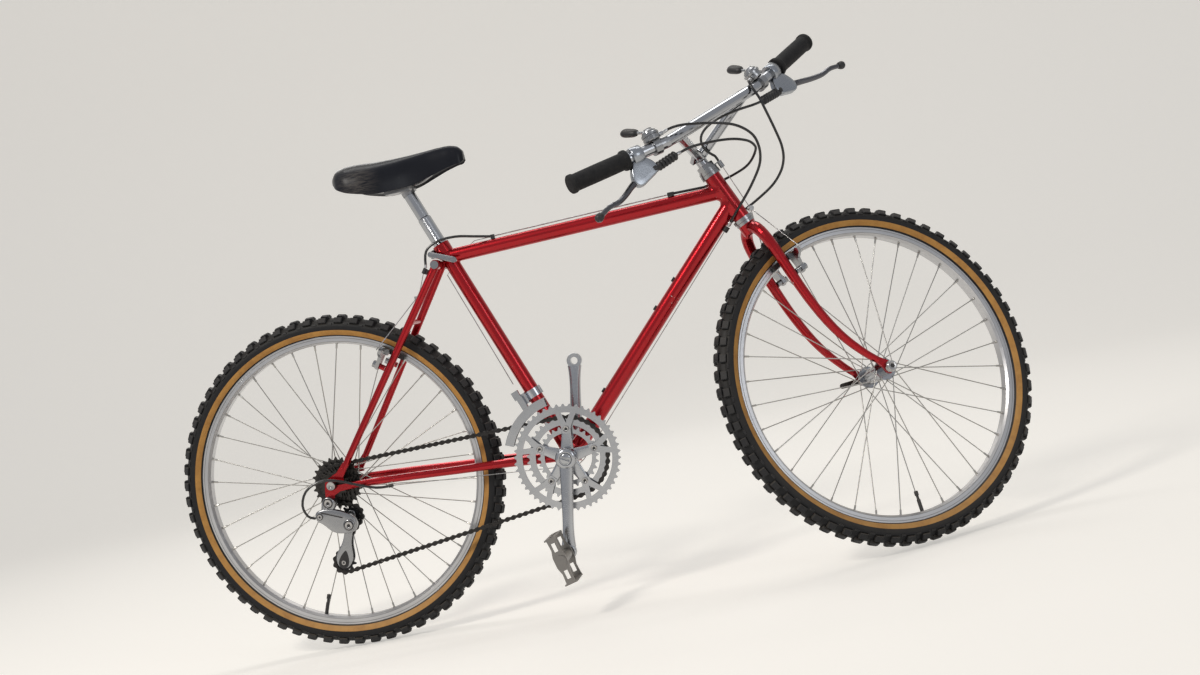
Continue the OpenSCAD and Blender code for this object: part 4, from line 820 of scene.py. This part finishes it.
def two_tone(name, black_share):
    """Bright wire where the share is 0 and black housing where it is 1. black_share builds the
    share from a tree and the three coordinates of a point."""
    material, tree, shader = surface(name, Specular_IOR_Level=0.5)
    place = object_place(tree)
    split = add(tree, "ShaderNodeSeparateXYZ", {0: place})
    share = black_share(tree, *[split.outputs[k] for k in range(3)])
    grime = noise(tree, place, 90.0, 4.0)
    steel = mix(tree, ramp(tree, grime, 0.4, 0.8), (0.5, 0.5, 0.5, 1), (0.26, 0.25, 0.23, 1))
    black = mix(tree, grime, (0.01, 0.01, 0.012, 1), (0.03, 0.03, 0.03, 1))
    feed(tree, shader, Base_Color=mix(tree, share, steel, black),
         Metallic=calc(tree, "SUBTRACT", 1.0, share),
         Roughness=calc(tree, "MULTIPLY_ADD", grime, 0.15, 0.22))
    return material


def outside(tree, value, low, high):
    """1 where a value is below low or above high."""
    return calc(tree, "MAXIMUM", calc(tree, "LESS_THAN", value, low),
                calc(tree, "GREATER_THAN", value, high))


dress(two_tone("rear_brake_wire", lambda tree, x, y, z: calc(
    tree, "MULTIPLY", outside(tree, x, 0.154, 0.5165), calc(tree, "GREATER_THAN", z, -0.214))),
    "rear_brake_cable")
dress(two_tone("gear_wire", lambda tree, x, y, z: calc(tree, "LESS_THAN", x, -0.1322)),
      "gear_wires")
dress(two_tone("front_brake_wire", lambda tree, x, y, z: calc(tree, "GREATER_THAN", z, -0.1425)),
      "front_brake_cable")

# ---------------------------------------------------------------------------------------------
# Chain: riveted links of two plates, wide and narrow in turn, with a roller on each rivet where
# the run is free. Its line wraps the middle ring, a sprocket and both pulleys.
pitch = 12.7
chain_y = -47
roller_gap = 8


def pitch_r(teeth):
    """Radius of the circle on which a wheel's rivets lie a pitch apart."""
    return pitch / (2 * math.sin(math.pi / teeth))


wheels = np.array([[0, 0], hub, hub + [17.4, -67.3], hub + [-15.6, -153.3]])
radii = [pitch_r(38), pitch_r(17), -pitch_r(10), pitch_r(10)]


def chain_line():
    """Points [x, z] a millimetre or so apart round the loop. Between two wheels the line is their
    common tangent, and on a wheel it is an arc from one tangent's direction to the next."""
    ways = []
    for k in range(4):
        gap = wheels[(k + 1) % 4] - wheels[k]
        ways.append(math.atan2(gap[1], gap[0])
                    - math.asin((radii[(k + 1) % 4] - radii[k]) / np.linalg.norm(gap)))
    runs = []
    for k in range(4):
        turn = (ways[k] - ways[k - 1]) % (2 * math.pi)
        turn = turn if radii[k] > 0 else turn - 2 * math.pi
        angle = ways[k - 1] + np.linspace(0, turn, max(3, int(abs(turn * radii[k]))))
        runs.append(wheels[k] + radii[k] * np.stack([np.sin(angle), -np.cos(angle)], -1))
    return np.concatenate(runs + [runs[0][:1]])


def plate(half_gap, thick, lobe, waist):
    """Both side plates of a link: two round ends and a narrower waist, cut from flat strip."""
    angle = np.linspace(-1.9, 1.9, 9)
    right = np.stack([pitch / 2 + lobe * np.cos(angle), lobe * np.sin(angle)], -1)
    outline = np.concatenate([right, [[0, waist]], -right, [[0, -waist]]])
    made = []
    for side in (-1, 1):
        y = side * (half_gap + thick * np.array([0, 0.8, 1]))[:, None]
        grow = np.array([1, 1, 0.9])[:, None]
        rings = np.stack(np.broadcast_arrays(outline[:, 0] * grow, y, outline[:, 1] * grow), -1)
        made.append(outward(skin(rings)))
    points = np.concatenate([m[0] for m in made])
    n = len(made[0][0])
    return (points, np.concatenate([made[0][1], made[1][1] + n]),
            np.concatenate([made[0][2], made[1][2] + n]))


loop = chain_line()
reach = np.concatenate([[0], np.cumsum(np.linalg.norm(np.diff(loop, axis=0), axis=1))])
link_count = 2 * round(reach[-1] / pitch / 2)
rivets = np.stack([np.interp(np.arange(link_count + 1) / link_count * reach[-1], reach, loop[:, k])
                   for k in range(2)], -1)
middles = (rivets[1:] + rivets[:-1]) / 2
lean = np.arctan2(rivets[1:, 1] - rivets[:-1, 1], rivets[1:, 0] - rivets[:-1, 0])
turns = about_axle(-lean)
moves = np.insert(middles, 1, chain_y, 1)
outer = copied(plate(2.55, 0.9, 4.6, 2.3), turns[::2], moves[::2])
inner = copied(plate(1.55, 0.9, 4.5, 2.2), turns[1::2], moves[1::2])
off_wheel = np.abs(np.linalg.norm(rivets[:-1, None] - wheels, axis=2) - np.abs(radii))
free = off_wheel.min(1) > roller_gap
pins = spun([[2.1, -3.9], [2.3, -3.6], [2.3, -1.6], [3.7, -1.5], [3.7, 1.5], [2.3, 1.6],
             [2.3, 3.6], [2.1, 3.9]], 8, place_of(), "y")
heads = np.insert(rivets[:-1][free], 1, chain_y, 1)
pins = copied(outward(pins), np.tile(np.eye(3), (len(heads), 1, 1)), heads)
chain_steel = worn("chain_steel", (0.045, 0.043, 0.042), (0.3, 0.28, 0.26), 0.34, 1.0, chips=0.7,
                   grain=0.2, dusty=0.2, bump=0.3)
piece("chain_links", [placed_part(ride, part) for part in (outer, inner, pins)], chain_steel,
      "frame", 30, ["chain"])

# ---------------------------------------------------------------------------------------------
# Chainset trim: five hexagon-socket bolts through the spider, each with a dark dome of painted
# shade in its socket, the slotted cap over the axle's bolt, and a dark ring of painted shade in
# the gap round that cap.


def socket_bolt(radius, height, key, sides=36):
    """A round head with a hexagon hole. The hole's rings follow key / cos of the angle from the
    nearest flat's middle, and the head's rings are circles."""
    rings = [(radius, -1, 0), (radius, height - 0.7, 0), (radius - 0.7, height, 0),
             (key * 1.3, height, 0), (key, height - 0.5, 1), (key, height - 2.6, 1),
             (key * 0.2, height - 2.9, 1)]
    angle = np.linspace(0, 2 * np.pi, sides, endpoint=False)
    hexagon = 1 / np.cos((angle + np.pi / 6) % (np.pi / 3) - np.pi / 6) * 0.93
    points = [np.stack([r * np.where(six, hexagon, 1) * np.cos(angle),
                        r * np.where(six, hexagon, 1) * np.sin(angle), np.full(sides, z)], -1)
              for r, z, six in rings]
    return skin(np.stack(points))


def socket_shade(height, key):
    """Painted shade inside a hexagon hole: a dark low dome that fills it part way."""
    return spun([[key * 0.9, height - 2.4], [key * 0.86, height - 1.0], [key * 0.3, height - 1.2]],
                24, place_of())


def slotted_cap(radius, height):
    """A low dome over polar rings, sunk by a straight slot and a ring groove."""
    r = np.concatenate([np.linspace(0.4, radius - 1.2, 22), [radius - 0.6, radius - 0.1, radius]])
    angle = np.linspace(0, 2 * np.pi, 64, endpoint=False)
    x, y = r[:, None] * np.cos(angle), r[:, None] * np.sin(angle)
    z = height * (1 - 0.35 * (r / radius) ** 2)[:, None] + 0 * x
    z = z - 1.5 / (1 + (np.abs(x) / 1.3) ** 8) / (1 + (np.abs(y) / (radius * 0.72)) ** 12)
    z = z - 0.5 * np.exp(-((r - radius * 0.84) / 0.35) ** 2)[:, None]
    z[-1] = height * 0.4
    foot = np.stack([x[-1], y[-1], np.full(64, -1.0)], -1)
    return skin(np.concatenate([np.stack([x, y, z], -1), foot[None]]))


chainset_alloy = alloy("chainset_alloy", (0.45, 0.46, 0.48), 0.2, 0.25, 0.1, 0.05)
dress(chainset_alloy, "chainrings")
bolt_steel = alloy("bolt_steel", (0.46, 0.45, 0.44), 0.22, 0.2)
to_right = facing((0, -1, 0))
crank_lean, ring_bolt_r, stud_r = 9.7, 55, 38
spider_angles = np.radians(90 - crank_lean + 72 * np.arange(5))
parts = []
# Painted shade: a dark ring in the gap round the crank cap, and a dark dome in each bolt's socket.
shade = [spun([[11.0, 76], [11.0, 77.3], [11.9, 77.3], [11.9, 76]], 48,
              then(ride, place_of((0, 0, 0), to_right)), loop=True)]
for spot in on_circle(ring_bolt_r, spider_angles, -56):
    spot = then(ride, place_of(spot, to_right))
    parts.append(placed_part(spot, socket_bolt(5.9, 2.4, 2.9)))
    shade.append(placed_part(spot, socket_shade(2.4, 2.9)))
piece("chainset_shade", shade, rubber_and_shade, "crankset")
piece("chainring_bolts", parts, bolt_steel, "crankset")
cap_place = then(ride, place_of((0, -76.9, 0), to_right @ rotation((0, 0, 1), 60)))
piece("crank_cap", [placed_part(cap_place, slotted_cap(11.2, 2.6))], bright, "crankset",
      25)

# ---------------------------------------------------------------------------------------------
# Crank forgings: rounded arms, the collar round each cap, the pedal eyes and the five spider
# arms with the studs that carry the smallest ring.


def beam(along, width, middle, half, power=4.0):
    """Sections square to x whose outline is |y / width|^power + |z / half|^power = 1."""
    angle = np.linspace(0, 2 * np.pi, 32, endpoint=False)
    cos, sin = np.cos(angle), np.sin(angle)
    side = np.sign(cos) * np.abs(cos) ** (2 / power)
    up = np.sign(sin) * np.abs(sin) ** (2 / power)
    sizes = (along, width, middle, half)
    along, width, middle, half = [np.asarray(v, float)[:, None] for v in sizes]
    return skin(np.stack(np.broadcast_arrays(along, width * side, middle + half * up), -1))


crank_len = 175
collar = [[8.6, 46], [8.6, 75], [11.8, 75], [11.8, 77.2], [13.2, 77.7], [15.8, 77.0], [18.6, 75.4],
          [20.3, 73], [20.5, 58], [19, 47], [17, 46]]
eye_ring = [[7.2, 73.6], [7.2, 85.9], [8.2, 86.5], [12.6, 86.5], [14.4, 85.6], [14.9, 83.8],
            [14.9, 75], [14.2, 73.5]]
stud = [[0.2, 39.5], [3.5, 39.5], [3.5, 49], [0.2, 49.2]]
station = np.linspace(0, 1, 25)
for side, body_parts in ((-1, "crank_forging_right"), (1, "crank_forging_left")):
    lean = math.radians(crank_lean)
    way = side * np.array([math.sin(lean), 0, math.cos(lean)])
    out = np.array([0.0, side, 0])
    turn = np.column_stack([way, np.cross(out, way), out])
    arm = beam(8 + 157 * station, 13.6 - 5.2 * station + 5.6 * station ** 6,
               67.0 + 12.6 * station, 8.2 - 1.6 * station, 2.6)
    middle = then(ride, place_of(turn=turn))
    parts = [placed_part(middle, arm), spun(collar, 64, middle, loop=True),
             spun(eye_ring, 48, then(ride, place_of(crank_len * way, turn)), loop=True)]
    for way in on_circle(1, spider_angles, 0) if side < 0 else ():
        turn = np.column_stack([way, np.cross(out, way), out])
        arm = beam(12 + 53 * station, 13.2 - 8.6 * station + 3.6 * station ** 2,
                   50.5 + 0 * station, 2.6 + 1.6 * (1 - station) ** 2)
        parts.append(placed_part(then(ride, place_of(turn=turn)), arm))
        parts.append(spun(stud, 16, then(ride, place_of(stud_r * way, to_right))))
    piece(body_parts, parts, chainset_alloy, "crankset", 50,
          ["crank_right" if side < 0 else "crank_left"])

# ---------------------------------------------------------------------------------------------
# Rear gear body and cage: cast plates with rounded outlines and edges, barrels at both pivots, a
# dark tube of painted shade in the gap between the two links, and a dark plate of painted shade
# on the cage round the lower pulley, standing for its opening.


def eased_outline(points, passes=3):
    """Chaikin's rule: each corner is cut at a quarter and three quarters of its sides."""
    points = np.asarray(points, float)
    for _ in range(passes):
        after = np.roll(points, -1, axis=0)
        points = np.stack([0.75 * points + 0.25 * after, 0.25 * points + 0.75 * after], 1)
        points = points.reshape(-1, 2)
    return points


def cast_plate(points, low, high, edge):
    """A flat plate between two heights whose rim turns over through a quarter circle."""
    outline = eased_outline(points)
    after, before = np.roll(outline, -1, axis=0), np.roll(outline, 1, axis=0)
    if (outline[:, 0] * after[:, 1] - outline[:, 1] * after[:, 0]).sum() < 0:
        return cast_plate(np.asarray(points)[::-1], low, high, edge)
    tangent = (after - before) / np.linalg.norm(after - before, axis=1)[:, None]
    inward = np.stack([-tangent[:, 1], tangent[:, 0]], -1)
    rings = [(edge, low, 1), (0, low + edge * 0.6, 1)]
    rings += [(edge * (1 - math.cos(a)), high - edge * (1 - math.sin(a)), 1)
              for a in np.radians([0, 22, 45, 67, 90])]
    rings += [(edge, high, 0.5)]
    centre = outline.mean(0)
    made = [np.concatenate([centre + (outline + inset * inward - centre) * share,
                            np.full((len(outline), 1), z)], 1) for inset, z, share in rings]
    return skin(np.stack(made))


gear_alloy = alloy("gear_alloy", (0.34, 0.345, 0.355), 0.22, 0.3, 0.12, 0.1)
sideways = np.array([[1.0, 0, 0], [0, 0, -1], [0, 1, 0]])
flat_place = then(ride, place_of(turn=sideways))
hanger, pinch_at, knuckle = hub + [-11.3, -31.4], hub + [-32, -54], hub + [22, -80]
link_out = pinch_at + np.array([[-9, 11], [12, 14], [42, 5], [66, -10], [70, -26], [62, -41],
                                [44, -41], [20, -36], [2, -14], [-9, -8]])
shoulder = hanger + np.array([[-12, 8], [12, 9], [14, -6], [5, -18], [-4, -20], [-20, -22],
                              [-16, -8]])
barrel = [[4, 0.4], [9.4, 0.4], [10.6, 0.1], [11.6, -1.2], [11.8, -3], [11.8, -24]]
parts = [placed_part(flat_place, cast_plate(link_out, 77, 89, 3)),
         placed_part(flat_place, cast_plate(shoulder, 72, 86, 3)),
         spun(barrel, 48, then(ride, place_of((hanger[0], -86, hanger[1]), to_right))),
         spun(barrel, 48, then(ride, place_of((knuckle[0], -92, knuckle[1]), to_right)))]
piece("rear_gear_body", parts, gear_alloy, "frame", 40, ["rear_derailleur"])
# Painted shade: a dark tube in the gap between the two links, and a dark plate for the cage's
# opening.
gap = [[pinch_at[0] + 4 + run, -89, pinch_at[1] + 7.5 - 0.42 * run] for run in (0, 20, 40)]
dark = [skin(along_path(at(ride, gap), 0.0013, 12))]
guide, tension = wheels[2:]
down = (tension - guide) / np.linalg.norm(tension - guide)
over = np.array([-down[1], down[0]])
cage_outline = [guide + a * down + b * over for a, b in (
    (-12, -7), (-12, 7), (8, 11), (36, 7.5), (56, 9), (74, 16), (88, 17), (103, 9), (103, -9),
    (88, -17), (74, -16), (56, -9), (36, -7.5), (8, -11))]
plates = [placed_part(flat_place, cast_plate(cage_outline, 53.2, 56.0, 0.9)),
          placed_part(flat_place, cast_plate(cage_outline, 38.6, 40.8, 0.7))]
piece("rear_gear_cage", plates, gear_alloy, "frame", 40, ["derailleur_cage"])
window = [tension + a * down + b * over for a, b in (
    (-24, -1.5), (-24, 1.5), (-12, 8), (0, 11), (9, 8), (12, 0), (9, -8), (0, -11), (-12, -8))]
dark.append(placed_part(flat_place, cast_plate(window, 55.2, 56.3, 0.3)))
piece("rear_gear_shadows", dark, rubber_and_shade, "frame")

# ---------------------------------------------------------------------------------------------
# Welds: the fillets where the frame's tubes meet, as smooth rings of the same painted steel.


def weld(start, way, r_tube, centre, axis, r_main, size, sides=72):
    """A ring with a concave quarter-circle section round the joint of two cylinders. A line beside
    the branch's axis meets the main cylinder where its distance from that axis is the radius."""
    way, axis = np.array(way, float), np.array(axis, float)
    way, axis = way / np.linalg.norm(way), axis / np.linalg.norm(axis)
    frame_turn = facing(way)
    angle = np.linspace(0, 2 * np.pi, sides, endpoint=False)
    spoke = frame_turn[:, 0] * np.cos(angle)[:, None] + frame_turn[:, 1] * np.sin(angle)[:, None]
    curve = np.radians(np.linspace(0, 90, 9))
    out = np.concatenate([[-1.2], size * (1 - np.cos(curve)), [size * 0.5]])
    up = np.concatenate([[size], size * (1 - np.sin(curve)), [-1.2]])
    sunk = np.concatenate([[0], np.full(9, -0.15), [0]])
    start_points = np.array(start, float) + (r_tube + out + sunk)[:, None, None] * spoke[None]
    a = np.cross(way, axis)
    c = np.cross(start_points - np.array(centre, float), axis)
    ac, aa, cc = c @ a, a @ a, (c * c).sum(-1)
    reach = (-ac + np.sqrt(np.maximum(ac ** 2 - aa * (cc - r_main ** 2), 0))) / aa
    return skin(start_points + (reach + up[:, None])[..., None] * way, loop=True)


head_axis = np.array([-0.40355, 0, 0.91496])
seat_axis = np.array([-0.34776, 0, 0.93758])
top_front, down_front = head_top - 35 * head_axis, head_top - 62 * head_axis
top_rear, down_rear = np.array([-156.7, 0, 422.3]), np.array([0, 0, -4.0])
top_way, down_way = top_front - top_rear, down_front - down_rear
joints = [
    weld(top_front, -top_way, 13.8, head_top, head_axis, 16, 6),
    weld(down_front, -down_way, 15.4, head_top, head_axis, 16, 6),
    weld(top_rear, top_way, 13.8, (0, 0, 0), seat_axis, 14.3, 4),
    weld(down_rear, down_way, 15.4, (0, 0, 0), (0, 1, 0), 20, 5),
    weld((0, 0, 0), seat_axis, 14.3, (0, 0, 0), (0, 1, 0), 20, 5),
]
piece("welds", [placed_part(ride, part) for part in joints], red_paint, "frame", 60)

# ---------------------------------------------------------------------------------------------
# Bar controls: cast perches clamped to the bar, shifters stacked under a domed cap with a slot,
# black paddles on their levers, black tips on the brake levers, and a black adjuster for each.


def paddle():
    """A flattened capsule along the lever: its radius swells in the middle and closes at both
    ends."""
    t = np.linspace(0, 1, 17)
    line = np.array([-20, 33.3, 40]) + t[:, None] * np.array([-34, 13, 19])
    radius = 11.4 * np.sqrt(np.clip(1 - np.abs(2 * t - 1) ** 3.6, 0.02, 1)) * (0.84 + 0.16 * t)
    rings = along_path(line, radius, 28)
    flat = np.array([0.35, 0.0, 0.94])
    inner = rings - line[:, None]
    return line[:, None] + inner - 0.25 * (inner @ flat)[..., None] * flat


shift_stack = [[9, 12], [15.5, 12.2], [16.6, 13.4], [16.6, 18.6], [15, 19.2], [15, 21],
               [16.8, 21.6], [16.8, 25.6], [15.6, 27], [14.2, 27.4], [13.4, 30.4], [8.4, 34.4]]
grip_flat = np.array([[0.0, 0, 1], [1, 0, 0], [0, 1, 0]])
perch_outline = [[56, -8], [82, -8], [95, -30], [98, -48], [86, -58], [64, -50], [43, -43],
                 [41, -26]]
perch_clamp = [[11.2, 57.6], [16.0, 57.6], [17.0, 58.8], [17.0, 77.2], [16.0, 78.4],
               [11.2, 78.4]]
along_bar = np.column_stack([(0, 0, 1), (1, 0, 0), (0, 1, 0)]).astype(float)
perches = []
for side in (left_grip, right_grip):
    perches.append(placed_part(then(side, place_of(turn=grip_flat)),
                               cast_plate(perch_outline, -7.5, 7.5, 3.2)))
    perches.append(spun(perch_clamp, 48, then(side, place_of(turn=along_bar)), loop=True))
perch_alloy = alloy("perch_alloy", (0.36, 0.38, 0.41), 0.26, 0.3, 0.1, 0.1)
piece("perch_bodies", perches, perch_alloy, "steering", 40, ["brake_perches"])
parts, caps, knobs = [], [], []
adjuster = [[3.5, -11], [7.2, -10.8], [7.6, -9], [7.6, -4], [6.4, -3.4], [6.4, 0], [5.4, 0.8]]
for side in (left_grip, right_grip):
    parts.append(skin(at(side, paddle())))
    caps.append(placed_part(then(side, place_of((0, 24, 34.2))), slotted_cap(8.2, 2.4)))
    caps.append(spun(shift_stack, 48, then(side, place_of((0, 24, 0)))))
    knobs.append(spun(adjuster, 20, then(side, boot_in)))
tip = [[0.5, 0.02], [4, 1.2], [7, 4.2], [8.1, 8], [7.4, 12], [6.4, 15.5], [6.2, 15.8]]
tip_place = place_of((34, 208, -83.6), facing((-0.5, -5.1, 2.2)))
parts += [spun(tip, 24, then(side, tip_place)) for side in (left_grip, right_grip)]
piece("shift_paddles", parts, rubber_and_shade, "steering", 60)
piece("shifter_caps", caps, gear_alloy, "steering", 25)
piece("cable_adjusters", knobs, rubber_and_shade, "steering", 30)

# ---------------------------------------------------------------------------------------------
# Bolts: the rear gear's pivot and pulley bolts, each with a hexagon socket holding a dark dome of
# painted shade and a black ring round its foot, the nut of the front hub with painted shade in its
# socket, and the end of the rear axle.
parts, rims = [], []
for (x, z), y, radius in (
    (hanger, -86.0, 7.6), (knuckle, -92.0, 7.6), (pinch_at, -89.0, 5.0), (guide, -56.7, 4.4),
    (tension, -56.7, 4.4),
):
    spot = then(ride, place_of((x, y, z), to_right))
    parts.append(placed_part(spot, socket_bolt(radius, 2.4, radius * 0.42)))
    # A dark dome of painted shade in each socket, and a black ring round the bolt's foot.
    rims.append(placed_part(spot, socket_shade(2.4, radius * 0.42)))
    rims.append(spun([[radius * 1.1, -0.8], [radius * 1.28, -0.6], [radius * 1.28, 0.5],
                      [radius * 1.1, 0.9]], 32, spot))
front_bolt = then(front_wheel, place_of((0, -63.0, 0), to_right))
front_nut = [placed_part(front_bolt, socket_bolt(9.6, 3.0, 4.2)),
             spun([[10.1, -9], [10.8, -8.2], [10.8, -0.6], [9.6, 0.3]], 32, front_bolt)]
piece("front_axle_nut", front_nut, bolt_steel, "steering")
piece("front_axle_shade", [placed_part(front_bolt, socket_shade(3.0, 4.2))], rubber_and_shade, "steering")
rear_bolt = then(ride, place_of((hub[0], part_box("rear_axle")[0][1] * 1000, hub[1]), to_right))
parts.append(placed_part(rear_bolt, socket_bolt(8.4, 3.4, 3.6)))
piece("gear_bolts", parts, bolt_steel, "frame")
piece("gear_bolt_rings_and_shade", rims, rubber_and_shade, "frame")

# ---------------------------------------------------------------------------------------------
# The other metal and plastic parts keep their turned and cast shapes and get their own finishes.
dark_steel = worn("oiled_steel", (0.06, 0.057, 0.054), (0.22, 0.2, 0.18), 0.36, 1.0, chips=0.5,
                  grain=0.2, dusty=0.25, bump=0.3)
black_alloy = worn("black_alloy", (0.014, 0.015, 0.018), (0.34, 0.33, 0.32), 0.26, 0.5, chips=0.35,
                   grain=0.1, dusty=0.15, bump=0.15)
pedal_alloy = alloy("pedal_alloy", (0.24, 0.23, 0.22), 0.34, 0.6, 0.3, 0.5)
dress(pedal_alloy, "pedal_cage")
dress(gear_alloy, "headset_cups", "headset_races", "shifter_bodies", "shifter_levers",
      "front_brake_arms", "rear_brake_arms", "seat_binder")
dress(dark_steel, "sprockets", "crank_spindle", "pedal_axle", "front_axle", "rear_axle")
dress(black_alloy, "jockey_wheels")
# The brake levers are silver-grey alloy; their colour is set darker, partly as painted shade.
dress(alloy("lever_alloy", (0.13, 0.13, 0.14), 0.24, 0.4, 0.1, 0.15), "brake_levers")
